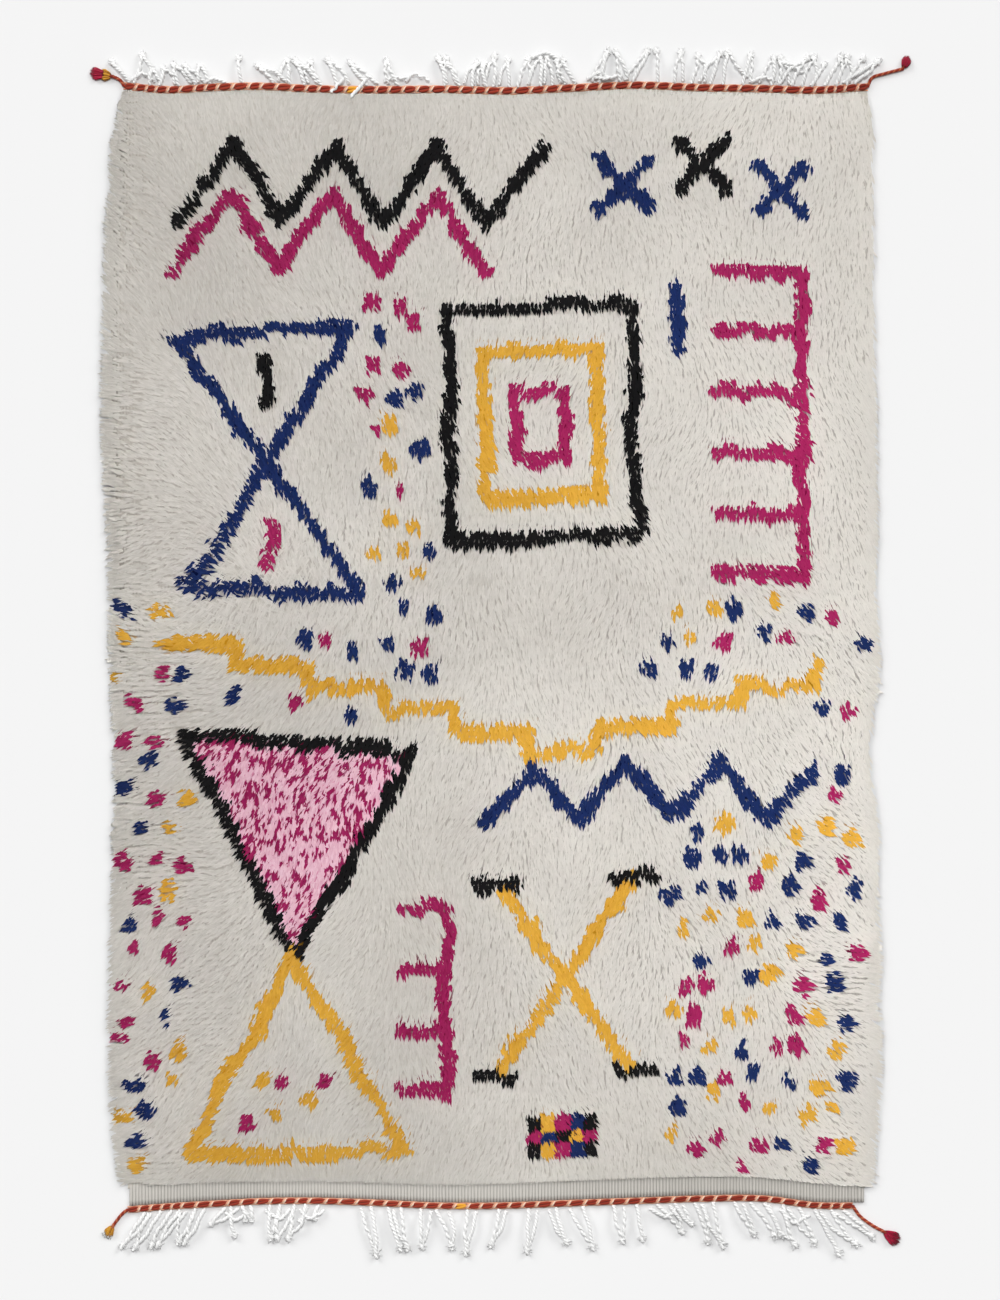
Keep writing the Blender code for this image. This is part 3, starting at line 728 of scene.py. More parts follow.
# How dark a lock is painted at its root, as painted shade deep among the other locks.
ROOT_PAINTED_SHADE = 0.85
RINGS_NEAR_ROOT = 0.16
BAKE_HALF_WIDTH = 0.4
BAKE_MARGIN = 0.08
END_ASIDE = 0.25
END_SPREAD_ACROSS = 0.13
END_SPREAD_ALONG = 0.16
ACROSS_LIMITS = (0.001, 0.999)
ALONG_LIMITS = (-0.0012, 0.996)
EDGE_CROWDING = 1.6
LENGTH_SPREAD = 0.11
LENGTH_LIMITS = (0.6, 1.35)
WIDTH_SPREAD = 0.15
WIDTH_LIMITS = (0.6, 1.4)
HEIGHT_SPREAD = 0.0003
DYED_WIDTH = 1.45
DYED_RISE = 0.0008
DYED_LENGTH = 0.80
STREAK_STEP = 5.3
STREAKS_ACROSS = 2.2
STREAKS_ALONG = 1.3
STREAKS_APART = 0.37
LAY_JITTER = math.radians(9)
LAY_SWIRL = math.radians(20)
SWIRL_SCALE = 2.2
SWIRL_WAVES = 7
SIDE_LEAN_WIDTH = 0.19
SIDE_LEAN = 3.0
RIGHT_LEAN = 0.60
CORNER_LEAN_DEPTH = 0.45
CORNER_LEAN_LOSS = 0.7
UPPER_LEAN = 2.2
UPTURNED_WIDTH = 0.030
CORNER_DEPTH = 0.15
CORNER_REACH = 0.50
FAN_Y = 0.15
FAN_REACH = 0.60
FAN_BLEND = 0.30
ROOT_DEPTH = 0.0021
ARCH_DEPTH = 0.0003
ARCH_PLACE = 0.42
RIM_WIDTH = 0.020
RIM_LOCKS = 1500
RIM_DEPTH = 0.024
RIM_REACH = 1.12
RIM_TIP_HEIGHTS = (0.002, 0.007)
RIM_NEAREST = 0.1
RIM_LENGTH_EVENNESS = 0.6
RIM_WIDENING = 0.5
RIM_ARCH_DROP = 0.25
NAP_EVENNESS = 0.88
LOCK_EVENNESS = 0.68
TONE_DEPTH = 0.38
TONE_AND_SHADE_SPAN = (-0.6, 0.6)
TONE_AND_SHADE_SIDES = (1.9, 0.9)
NAP_FIBRE_DEPTH = 0.25
FIRST_ROW_INSET = -0.002
FIRST_ROWS = 0.016
FIRST_ROW_LOSS = (0.25, 0.65)
FIRST_ROW_SINK = 0.0016
FIRST_LOCKS = 1500
FIRST_LOCK_DEPTH = 0.011
FIRST_LOCK_START = 0.001
LAST_ROW_INSET = 0.008
LAST_SHARE = 0.35
LAST_RAGGEDNESS = 0.0025
LOWEST_ROOT = GROUND_THICKNESS - 0.001
LOWEST_TIP = 0.0012
PARTINGS = 26
PARTING_X = (-0.7, 0.7)
PARTING_Y = (-1.0, 1.05)
PARTING_SWAY = 0.01
PARTING_BENDS = 9
PARTING_WIDTHS = (0.04, 0.26)
PARTING_HALF = 0.0028
PARTING_DEPTH = 0.0012
PARTING_PAINTED_SHADE = 0.45
PILE_SPLITS = 4


def lock_template(sides, rings):
    """The points of one lock: shares around and along it, as rings between a root and a tip."""
    bm = bmesh.new()
    bmesh.ops.create_uvsphere(bm, u_segments=sides, v_segments=rings + 1, radius=1)
    bmesh.ops.triangulate(bm, faces=bm.faces)
    bmesh.ops.rotate(bm, matrix=Matrix.Rotation(math.radians(90), 3, "Z"), verts=bm.verts)
    points = np.array([vert.co[:] for vert in bm.verts])
    faces = np.array([[vert.index for vert in face.verts] for face in bm.faces])
    bm.free()
    return points, faces


def bulge(along, fullest):
    """How wide a lock is along its length, from nothing at the root to nothing at the tip."""
    rise = np.sin(np.clip(along / fullest, 0, 1) * math.pi / 2)
    fall = np.sqrt(np.clip((1 - along) / (1 - fullest), 0, 1))
    return rise * fall


def make_locks(name, material, template, roots, arches, tips, widths, tones, evenness=0.0):
    """Join locks into one mesh. Each runs from its root through an arch point to its tip. Locks that
    make up a nap are shaded by their evenness like the level top that they form together."""
    points, faces = template
    along = ((1 - points[:, 2]) / 2)[None, :, None]
    along = along * (1 - RINGS_NEAR_ROOT) + RINGS_NEAR_ROOT * along**2
    spine = (1 - along) ** 2 * roots[:, None] + 2 * along * (1 - along) * arches[:, None]
    spine = spine + along**2 * tips[:, None]
    run = tips - roots
    across = np.stack([-run[:, 1], run[:, 0], np.zeros(len(run))], 1)
    across /= np.linalg.norm(across, axis=1, keepdims=True)
    up = np.cross(run, across)
    up /= np.linalg.norm(up, axis=1, keepdims=True)
    ring = np.hypot(points[:, 0], points[:, 1]).clip(1e-6)
    around = points[:, 0] / ring * (ring > LOCK_POLE)
    girth = np.where(ring > LOCK_POLE, bulge(along[0, :, 0], LOCK_FULLEST), 0)
    offset_across = (points[:, 0] / ring * girth)[None, :, None] * widths[:, None, None] / 2
    offset_up = (points[:, 1] / ring * girth)[None, :, None] * widths[:, None, None] * LOCK_FLATNESS
    places = spine + across[:, None] * offset_across + up[:, None] * offset_up

    count, corners = len(roots), len(points)
    mesh = bpy.data.meshes.new(name)
    mesh.vertices.add(count * corners)
    mesh.vertices.foreach_set("co", places.ravel())
    triangles = (faces[None] + (np.arange(count) * corners)[:, None, None]).reshape(-1)
    mesh.loops.add(len(triangles))
    mesh.loops.foreach_set("vertex_index", triangles.astype(np.int32))
    mesh.polygons.add(len(triangles) // 3)
    mesh.polygons.foreach_set("loop_start", np.arange(0, len(triangles), 3, dtype=np.int32))
    mesh.polygons.foreach_set("use_smooth", np.ones(len(triangles) // 3, bool))
    mesh.update(calc_edges=True)

    # Each lock's tone is painted darker towards its root: painted shade down among the locks that lie over
    # it.
    tone_and_shade = mesh.attributes.new("tone_and_shade", "FLOAT", "POINT")
    shade = tones[:, None] * (ROOT_PAINTED_SHADE + (1 - ROOT_PAINTED_SHADE) * along[0, :, 0])[None]
    tone_and_shade.data.foreach_set("value", shade.astype(np.float32).ravel())
    streaks = mesh.attributes.new("streaks", "FLOAT_VECTOR", "POINT")
    lock_number = np.broadcast_to(np.arange(count)[:, None], (count, corners))
    streak_place = np.stack([
        lock_number * STREAK_STEP + STREAKS_ACROSS * around[None],
        np.broadcast_to(STREAKS_ALONG * along[0, :, 0], (count, corners)),
        lock_number * STREAKS_APART,
    ], 2)
    streaks.data.foreach_set("vector", streak_place.astype(np.float32).ravel())
    cells = math.ceil(math.sqrt(count))
    column, row = np.arange(count) % cells, np.arange(count) // cells
    local_u = 0.5 + BAKE_HALF_WIDTH * around
    local_v = BAKE_MARGIN + (1 - 2 * BAKE_MARGIN) * along[0, :, 0]
    u = (column[:, None] + local_u[None]) / cells
    v = (row[:, None] + local_v[None]) / cells
    flat = np.stack([u, v], 2).reshape(-1, 2)[triangles]
    mesh.uv_layers.new(name="OFBake").data.foreach_set("uv", flat.astype(np.float32).ravel())
    mesh.validate()
    if evenness:
        normals = np.empty(count * corners * 3)
        mesh.vertices.foreach_get("normal", normals)
        normals = normals.reshape(-1, 3) * (1 - evenness) + np.array([0, 0, evenness])
        normals /= np.linalg.norm(normals, axis=1, keepdims=True)
        mesh.normals_split_custom_set_from_vertices(normals)
    return place_mesh(mesh, name, material)


def swirl(x, y):
    """A slow random field over the rug, from about -1 to 1, as a few crossing waves."""
    own = np.random.default_rng(5)
    waves = [(own.normal(0, SWIRL_SCALE, 2), own.uniform(0, math.tau)) for _ in range(SWIRL_WAVES)]
    return sum(np.sin(math.tau * (x * way[0] + y * way[1]) + phase) for way, phase in waves) / 3


def lock_places(own):
    """Each lock's shares across and along the cloth: two a knot, and more at both sides and the first row."""
    count = 2 * yarn.size
    aside = np.tile([-END_ASIDE, END_ASIDE], yarn.size) + own.normal(0, END_SPREAD_ACROSS, count)
    across = np.repeat(knot_across.ravel(), 2) + aside / KNOTS_ACROSS
    along = np.repeat(knot_along.ravel(), 2) + own.normal(0, END_SPREAD_ALONG, count) / KNOT_ROWS
    edge_depth = RIM_DEPTH * own.uniform(RIM_NEAREST, 1.0, RIM_LOCKS * 2) ** EDGE_CROWDING / DESIGN_WIDTH
    edge_across = np.where(np.arange(RIM_LOCKS * 2) % 2, edge_depth, 1 - edge_depth)
    first_across = own.uniform(*ACROSS_LIMITS, FIRST_LOCKS)
    edge_along = own.uniform(0, ALONG_LIMITS[1], RIM_LOCKS * 2)
    first_along = FIRST_LOCK_DEPTH * own.random(FIRST_LOCKS) ** EDGE_CROWDING - FIRST_LOCK_START
    across = np.concatenate([across, edge_across, first_across])
    along = np.concatenate([along, edge_along, first_along])
    knotted = DESIGN_LENGTH - FIRST_ROW_INSET - LAST_ROW_INSET
    along = (FIRST_ROW_INSET + along * knotted) / DESIGN_LENGTH
    return across.clip(*ACROSS_LIMITS), along.clip(*ALONG_LIMITS)


def lock_ways(own, x, y, down):
    """The way that each lock lies, as an angle, and which locks are turned up and out at the upper left."""
    count = len(x)
    from_left, from_right = x - left_x(y), right_x(y) - x
    near_left = np.exp(-from_left / SIDE_LEAN_WIDTH)
    lean = SIDE_LEAN * (RIGHT_LEAN * (0.5 - 0.5 * y) * np.exp(-from_right / SIDE_LEAN_WIDTH) - near_left)
    fall = 1 - near_left * (1 - np.clip(abs(y - FAN_Y) / FAN_REACH, 0, 1))
    from_top = (DESIGN_LENGTH / 2 - y).clip(0)
    upper_lean = UPPER_LEAN * near_left * (1 - CORNER_LEAN_LOSS * np.exp(-from_top / CORNER_LEAN_DEPTH))
    upper = (own.random(count) < (y - FAN_Y) / FAN_BLEND + 0.5) & (x < 0)
    way = np.where(upper, np.arctan2(-fall, upper_lean), np.arctan2(-fall, lean))
    upturned = upper & (from_left < UPTURNED_WIDTH * 2 * own.random(count))
    way[upturned] = np.where(down[upturned] < UPTURNED_WIDTH, 0, way[upturned]) + math.pi
    way += LAY_SWIRL * swirl(x, y) + own.normal(0, LAY_JITTER, count)
    return way, upturned


def make_pile():
    """Two yarn ends for every knot, as one mesh for each dyed yarn and a few for the cream."""
    own = np.random.default_rng(23)
    across, along = lock_places(own)
    count = len(across)
    colours = yarn[knot_at(across, along)]
    heights = knot_heights[knot_at(across, along)]
    x, y = on_rug(across, along)
    down = along * DESIGN_LENGTH
    way, upturned = lock_ways(own, x, y, down)
    side = np.minimum(x - left_x(y), right_x(y) - x)
    rim = np.clip(1 - side / RIM_WIDTH, 0, 1)
    uneven = own.normal(0, LENGTH_SPREAD, count) * (1 - RIM_LENGTH_EVENNESS * rim)
    reach = LOCK_LENGTH * (1 + uneven).clip(*LENGTH_LIMITS)
    reach *= 1 + (RIM_REACH - 1) * rim
    reach[colours != CREAM] *= DYED_LENGTH
    reach[upturned] *= np.interp(down[upturned], (0, CORNER_DEPTH), (CORNER_REACH, 1))
    first = np.clip(1 - down / FIRST_ROWS, 0, 1)
    reach *= 1 - first * own.uniform(*FIRST_ROW_LOSS, count)
    direction = np.stack([np.cos(way), np.sin(way)], 1)
    stop_y = pile_end_y(x) + own.uniform(0.0, LAST_RAGGEDNESS, count)
    room = (y - stop_y) / np.maximum(-direction[:, 1] * reach, 1e-6)
    reach *= np.where(direction[:, 1] < 0, room.clip(LAST_SHARE, 1), 1)
    nap = heights - NAP_SINK + own.normal(0, HEIGHT_SPREAD, count) - FIRST_ROW_SINK * first
    nap[colours != CREAM] += DYED_RISE
    # Each lock's tone differs at random, and more widely towards the left, where the darker locks also stand
    # in for shade between locks: partly painted shade.
    tones = 1 - own.uniform(0, TONE_DEPTH, count) * np.interp(x, TONE_AND_SHADE_SPAN, TONE_AND_SHADE_SIDES)
    # Partings: short wavering lines where the nap sinks a little, and its locks are painted darker as the
    # shade down in the parting.
    for _ in range(PARTINGS):
        middle_x, parted_y = own.uniform(*PARTING_X), own.uniform(*PARTING_Y)
        half_width = own.uniform(*PARTING_WIDTHS)
        in_line = abs(y - parted_y - PARTING_SWAY * np.sin(x * PARTING_BENDS)) < PARTING_HALF
        parted = (abs(x - middle_x) < half_width) & in_line
        nap[parted] -= PARTING_DEPTH
        tones[parted] *= PARTING_PAINTED_SHADE
    tip_height = nap * (1 - rim) + rim * own.uniform(*RIM_TIP_HEIGHTS, count)
    arch_height = (nap - ARCH_DEPTH) * (1 - RIM_ARCH_DROP * rim)
    roots = np.stack([x, y, ((nap - ROOT_DEPTH) * (1 - rim)).clip(LOWEST_ROOT)], 1)
    middles = np.stack([x, y], 1) + direction * (reach * ARCH_PLACE)[:, None]
    arches = np.c_[middles, arch_height]
    tips = np.column_stack([x + direction[:, 0] * reach, y + direction[:, 1] * reach, tip_height])
    tips[:, 2] = tips[:, 2].clip(LOWEST_TIP)
    widths = LOCK_WIDTH * own.normal(1, WIDTH_SPREAD, count).clip(*WIDTH_LIMITS)
    widths = widths * (1 + RIM_WIDENING * rim)
    widths[colours != CREAM] *= DYED_WIDTH

    pieces = []
    inner_template = lock_template(3, 1)
    groups = [("pile_rim", CREAM, side < RIM_WIDTH, lock_template(3, 2))]
    splits = np.minimum((along * PILE_SPLITS).astype(int), PILE_SPLITS - 1)
    for split in range(PILE_SPLITS):
        inner = (side >= RIM_WIDTH) & (splits == split)
        groups.append((f"pile_cream_{split + 1}", CREAM, inner, inner_template))
    everywhere = np.ones(count, bool)
    for number in (MAGENTA, NAVY, BLACK, GOLD, PINK):
        groups.append((f"pile_{YARN_COLOURS[number][0]}", number, everywhere, inner_template))
    materials = {
        number: yarn_material(f"{name}_wool", light, deep, NAP_FIBRE_DEPTH, nap=NAP_EVENNESS, graded=True)
        for number, (name, light, deep) in YARN_COLOURS.items()
    }
    for name, number, where, template in groups:
        chosen = where & (colours == number)
        piece = make_locks(
            name, materials[number], template,
            roots[chosen], arches[chosen], tips[chosen], widths[chosen], tones[chosen], LOCK_EVENNESS,
        )
        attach(piece, "root")
        pieces.append(piece)
    return pieces


pile = make_pile()


# The flat-woven band at the lower end is the ground woven on without knots. Its warps stand up as even
# upright ribs, and the weft crosses them in fine shots. It goes under the last row of knots.
RIB_PITCH = 0.0064
RIB_STEPS = 4
RIB_UNEVENNESS = 0.10
RIB_SHIFT = 0.0004
SHOT_PITCH = 0.0021
BAND_BOTTOM = 0.0001
BAND_THICKNESS = 0.0034
BAND_RIB = 0.0024
BAND_ROWS = 4
BAND_UNDER_PILE = 0.014
LOWER_CORD_SHARE = 0.82


def make_band():
    left, right = pile_ends[0, 0], pile_ends[-1, 0]
    ribs = round((right - left) / RIB_PITCH)
    bm = bmesh.new()
    bmesh.ops.create_grid(bm, x_segments=ribs * RIB_STEPS, y_segments=BAND_ROWS, size=0.5)
    own = np.random.default_rng(31)
    rib_heights = own.normal(1, RIB_UNEVENNESS, ribs + 1)
    rib_shift = own.normal(0, RIB_SHIFT, ribs + 1)
    tone_and_shade = bm.verts.layers.float.new("tone_and_shade")
    for vert in bm.verts:
        across, up = vert.co.x + 0.5, vert.co.y + 0.5
        x = left + (right - left) * across
        front = bottom_cord_y(x) + CORD_HALF_WIDTH * LOWER_CORD_SHARE + GAP
        back = pile_end_y(x) + BAND_UNDER_PILE
        rib = across * ribs
        crest = abs(math.sin(math.pi * rib)) * rib_heights[int(rib)]
        sway = rib_shift[int(rib)] * math.sin(up * math.pi)
        height = BAND_THICKNESS + BAND_RIB * crest
        vert.co = (x + sway, front + (back - front) * up, height)
        # The crest is kept as the tone, so the band is painted lighter on its ribs and darker in the grooves
        # between them: painted shade.
        vert[tone_and_shade] = crest
    close_below(bm, BAND_BOTTOM)
    for face in bm.faces:
        face.smooth = True
    return place(bm, "band", band_wool())


def band_wool():
    """Grey-cream wool weave, with weft shots across the ribs and painted shade darkening the grooves between
    them.
    """
    material = yarn_material("band_wool", linear(200, 196, 189), linear(128, 124, 118))
    tree = material.node_tree
    coordinates = tree.nodes.new("ShaderNodeTexCoord")
    shots = tree.nodes.new("ShaderNodeTexWave")
    shots.wave_type = "BANDS"
    shots.bands_direction = "Y"
    shots.inputs["Scale"].default_value = WAVE_REPEAT / SHOT_PITCH
    shots.inputs["Distortion"].default_value = 1.2
    tree.links.new(coordinates.outputs["Object"], shots.inputs["Vector"])
    fibres = next(node for node in tree.nodes if node.type == "GROUP" and node.node_tree == fibre_group)
    # The weft shots are added to the ribs' painted shade from the mesh.
    shots_and_rib_shade = tree.nodes.new("ShaderNodeMath")
    shots_and_rib_shade.operation = "MULTIPLY_ADD"
    shots_and_rib_shade.inputs[1].default_value = 0.35
    tree.links.new(shots.outputs["Fac"], shots_and_rib_shade.inputs[0])
    tree.links.new(fibres.inputs["Tone"].links[0].from_socket, shots_and_rib_shade.inputs[2])
    tree.links.new(shots_and_rib_shade.outputs[0], fibres.inputs["Tone"])
    bump = tree.nodes.new("ShaderNodeBump")
    bump.inputs["Distance"].default_value = 0.0006
    bump.inputs["Strength"].default_value = 0.7
    tree.links.new(shots.outputs["Fac"], bump.inputs["Height"])
    tree.links.new(fibres.outputs["Normal"], bump.inputs["Normal"])
    tree.links.new(bump.outputs["Normal"], tree.nodes["Principled BSDF"].inputs["Normal"])
    return material


band = make_band()
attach(band, "root")


# The edging across each end is twined over the warps. Two brick-red plies lie over it in blocks, a pair of
# orange and cream plies crosses between them, and a fine orange yarn lies along either side. Past the
# corners the same yarns run on as a thin braid.
Yarn = namedtuple("Yarn", "name radius orbit phase")
TWINE_PITCH = 0.0272
TWINE_UNEVENNESS = 0.10
TWINE_LIMITS = (0.75, 1.25)
BLOCK_LENGTHS = (0.95, 1.06)
BLOCK_TURNS = (-0.6, 0.6)
BLOCK_WIND = 0.8
END_BLOCKS = 5
END_BLOCK_SHARE = 0.78
BLOCK_SHARE = {"top": 0.385, "bottom": 0.415}
CORD_SHARE = {"top": 1.0, "bottom": LOWER_CORD_SHARE}
BLOCK_PLY = 0.0035
BLOCK_PLY_ASIDE = 0.0034
BLOCK_SLANT = 0.0016
BLOCK_RISE = 0.0021
BLOCK_TILT = 0.0007
BLOCK_TAPER = 0.72
CROSSING_PLY = 0.0019
CROSSING_REACH = 0.0062
CROSSING_SLANT = 0.0042
CROSSING_APART = 0.0017
CROSSING_SINK = 0.0008
CROSSING_RISE = 0.0024
CROSSING_TAPER = 0.35
SIDE_YARN_RADIUS = 0.0016
SIDE_YARN_SWAY = 0.0004
SIDE_YARN_RISE = 0.0006
CORE_RADIUS = 0.0034
CORD_MIDDLE_HEIGHT = 0.0046
CORD_STEP = 0.0030
BRAID_STEP = 0.0011
BRAID_HEIGHT = 0.0036
BRAID_TURN = 0.0120
BRAID_YARNS = (
    Yarn("brick", 0.0017, 0.0019, 0.0),
    Yarn("brick", 0.0017, 0.0019, 1 / 3),
    Yarn("salmon", 0.0015, 0.0019, 2 / 3),
)


def line_points(places, lengths, line):
    """Where a line is at some lengths along it."""
    return np.stack([np.interp(places, lengths, axis) for axis in line.T], 1)


def resampled(line, step, least=3):
    """Points a fixed step apart along a line, and how far along it each is."""
    lengths = np.r_[0, np.cumsum(np.linalg.norm(np.diff(line, axis=0), axis=1))]
    places = np.linspace(0, lengths[-1], max(least, round(lengths[-1] / step)))
    return line_points(places, lengths, line), places


def sideways(points):
    """The level direction across a line at each of its points."""
    along = np.gradient(points[:, :2], axis=0)
    along /= np.linalg.norm(along, axis=1, keepdims=True).clip(1e-9)
    return np.stack([along[:, 1], -along[:, 0], np.zeros(len(along))], 1)


def wound(points, lengths, turn, orbit, phase, flatten=1.0):
    """A line wound round another, flattened to be wider than it is high."""
    angle = math.tau * (lengths / turn + phase)
    across = sideways(points) * (np.cos(angle) * orbit * flatten)[:, None]
    up = np.zeros_like(points)
    up[:, 2] = np.sin(angle) * orbit / flatten
    return points + across + up


def make_yarns(name, runs, material, round_steps=1):
    """Round yarns joined in one mesh. A run is its points and its radius at each of them."""
    curve = bpy.data.curves.new(name, "CURVE")
    curve.dimensions = "3D"
    curve.bevel_depth = 1
    curve.bevel_resolution = round_steps
    curve.use_fill_caps = True
    for points, radii in runs:
        spline = curve.splines.new("POLY")
        spline.points.add(len(points) - 1)
        spline.points.foreach_set("co", np.c_[points, np.ones(len(points))].ravel())
        spline.points.foreach_set("radius", np.broadcast_to(radii, len(points)).astype(float))
    drawn = bpy.data.objects.new(name + "_drawn", curve)
    bpy.context.scene.collection.objects.link(drawn)
    depsgraph = bpy.context.evaluated_depsgraph_get()
    mesh = bpy.data.meshes.new_from_object(drawn.evaluated_get(depsgraph))
    bpy.data.objects.remove(drawn)
    bpy.data.curves.remove(curve)
    mesh.name = name
    mesh.materials.clear()
    mesh.polygons.foreach_set("use_smooth", np.ones(len(mesh.polygons), bool))
    return place_mesh(mesh, name, material)


def joined(name, objects):
    """Join objects, with their materials, into the first and give it a name."""
    with bpy.context.temp_override(active_object=objects[0], selected_editable_objects=objects):
        bpy.ops.object.join()
    while objects[0].data.uv_layers:
        objects[0].data.uv_layers.remove(objects[0].data.uv_layers[0])
    objects[0].name = name
    objects[0].data.name = name
    return objects[0]


YARN_MATERIALS = {
    "brick": yarn_material("brick_wool", linear(160, 62, 44), linear(96, 27, 20), toned=False),
    "orange": yarn_material("orange_wool", linear(222, 166, 137), linear(190, 122, 93), toned=False),
    "pale": yarn_material("pale_orange_wool", linear(235, 208, 186), linear(209, 170, 145), toned=False),
    "gold": yarn_material("edging_gold_wool", linear(228, 166, 62), linear(186, 115, 33), toned=False),
    "salmon": yarn_material("salmon_wool", linear(199, 117, 82), linear(150, 69, 44), toned=False),
}
GOLD_BLOCK_X = {"top": -0.303, "bottom": -0.089}


def twined_plies(end, centre, lengths, own):
    """Runs for each yarn of the twining: its blocks, its crossings, its core and the side yarns."""
    girth = CORD_SHARE[end]
    across = sideways(centre) * girth

    def at(place_along, aside, height):
        """Points beside the cord's middle line, from places along it."""
        middle = line_points(place_along, lengths, centre[:, :2])
        side = line_points(place_along, lengths, across[:, :2])
        return np.c_[middle + side * np.asarray(aside)[:, None], height]

    runs = {name: [] for name in ("brick", "gold", "orange", "pale")}
    t = np.linspace(-1, 1, 9)
    steps = own.normal(1, TWINE_UNEVENNESS, round(lengths[-1] / TWINE_PITCH)).clip(*TWINE_LIMITS)
    steps[:END_BLOCKS] *= END_BLOCK_SHARE
    steps[-END_BLOCKS:] *= END_BLOCK_SHARE
    seams = np.r_[0, np.cumsum(steps)] * lengths[-1] / steps.sum()
    gold_block = np.searchsorted(seams, np.interp(GOLD_BLOCK_X[end], centre[:, 0], lengths)) - 1
    for block, (start, stop) in enumerate(pairwise(seams)):
        reach = (stop - start) * BLOCK_SHARE[end] * own.uniform(*BLOCK_LENGTHS)
        place_along = (start + stop) / 2 + t * reach
        turn = own.uniform(*BLOCK_TURNS)
        colour = "gold" if block == gold_block else "brick"
        radii = BLOCK_PLY * girth * (1 - BLOCK_TAPER * np.abs(t) ** 3.5)
        for half in (-1, 1):
            aside = half * BLOCK_PLY_ASIDE * np.cos(t * BLOCK_WIND + turn) - BLOCK_SLANT * t
            height = CORD_MIDDLE_HEIGHT + BLOCK_RISE * np.cos(t * 1.35)
            height += half * BLOCK_TILT * np.sin(t * BLOCK_WIND + turn)
            runs[colour].append((at(place_along, aside, height), radii))
    for middle in seams[1:-1]:
        for half, colour in ((-1, "orange"), (1, "pale")):
            place_along = middle + t * CROSSING_SLANT + half * CROSSING_APART
            height = CORD_MIDDLE_HEIGHT - CROSSING_SINK + CROSSING_RISE * np.cos(t * 1.5)
            radii = CROSSING_PLY * (1 - CROSSING_TAPER * t**2)
            runs[colour].append((at(place_along, -t * CROSSING_REACH, height), radii))
    core = at(lengths, np.zeros(len(lengths)), np.full(len(lengths), CORE_RADIUS))
    runs["brick"].append((core, CORE_RADIUS * girth))
    for side in (-1, 1):
        sway = SIDE_YARN_SWAY * (1 + np.sin(math.tau * lengths / TWINE_PITCH + side))
        aside = side * (CORD_HALF_WIDTH - SIDE_YARN_RADIUS - sway)
        height = CORE_RADIUS + SIDE_YARN_RISE * np.sin(math.tau * lengths / TWINE_PITCH * 2)
        runs["orange"].append((at(lengths, aside, height), SIDE_YARN_RADIUS))
    return runs


def make_edging(end, line, is_braid):
    """One twined edging, with its side yarns and the two braids that run on from it."""
    objects = []
    edge = line[~is_braid]
    centre, lengths = resampled(np.c_[edge, np.zeros(len(edge))], CORD_STEP)
    own = np.random.default_rng(37 if end == "top" else 39)
    for colour, runs in twined_plies(end, centre, lengths, own).items():
        objects.append(make_yarns(f"twined_{colour}", runs, YARN_MATERIALS[colour]))
    for side, where in (("left", line[:, 0] < 0), ("right", line[:, 0] > 0)):
        tail = line[where & is_braid]
        near = edge[0 if side == "left" else -1]
        tail = np.vstack([near, tail[::-1] if side == "left" else tail])
        tail, tail_lengths = resampled(np.c_[tail, np.full(len(tail), BRAID_HEIGHT)], BRAID_STEP)
        for number, part in enumerate(BRAID_YARNS):
            path = wound(tail, tail_lengths, BRAID_TURN, part.orbit, part.phase)
            name = f"braid_{side}_{number}"
            objects.append(make_yarns(name, [(path, part.radius)], YARN_MATERIALS[part.name]))
    piece = joined(f"edging_{end}_twined", objects)
    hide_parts(f"edging_{end}")
    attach(piece, "root")
    return piece


edging_top = make_edging("top", top_cord, top_is_braid)
edging_bottom = make_edging("bottom", bottom_cord, bottom_is_braid)


# Each braid ends in a tuft: its yarns are bound round and cut, and their loose ends fan out on the floor.
# The upper left one has gold yarn behind its crimson, and the lower left one has white cotton under its gold.
TUFT_YARNS = {
    "crimson": yarn_material("crimson_wool", linear(186, 32, 68), linear(98, 6, 26)),
    "gold": yarn_material("tuft_gold_wool", linear(236, 172, 60), linear(146, 86, 18)),
    "cotton": yarn_material("tuft_cotton", linear(250, 250, 249), linear(228, 228, 226)),
}
CLUMPS = 6
CLUMP_TURN = 0.9
CLUMP_REACHES = (0.88, 1.02)
STRAND_TURN = 0.12
STRAND_REACHES = (0.88, 1.0)
STRAND_WIDTHS = (0.0019, 0.0037)
STRAND_ROOT_HEIGHTS = (0.002, 0.006)
STRAND_TIP_HEIGHTS = (0.0012, 0.0040)
ROUNDED_TIP = 0.16
TIP_SHARE = 0.93
FAN_START = 0.002
FAN_ROOT_SPREAD = 0.0030
BACK_FAN_SPREAD = 1.6
FAN_BOW = 0.28
FAN_ARCHES = (0.35, 1.25)
TONE_BIAS = 1.2
BINDING_LENGTH = 0.0075
BINDING_OVERLAP = 0.0015
BINDING_TURN = 0.0018
BINDING_ORBIT = 0.0030
BINDING_RADIUS = 0.0009
BINDING_STEP = 0.0004
BINDING_HEIGHTS = (0.0040, 0.0042)
Fan = namedtuple("Fan", "colour strands start stop spread height")
FANS = {
    "top_left": (Fan("gold", 90, 0.0, 0.60, 1.15, 0.0100), Fan("crimson", 130, 0.30, 1.06, 1.20, 0.0110)),
    "top_right": (Fan("crimson", 150, 0.0, 1.04, 1.05, 0.0105),),
    "bottom_left": (Fan("gold", 120, 0.0, 0.90, 1.10, 0.0105), Fan("cotton", 40, 0.35, 1.05, 1.1, 0.0050)),
    "bottom_right": (Fan("crimson", 170, 0.0, 1.04, 1.05, 0.0105),),
}


def unit(vector):
    return vector / np.linalg.norm(vector)


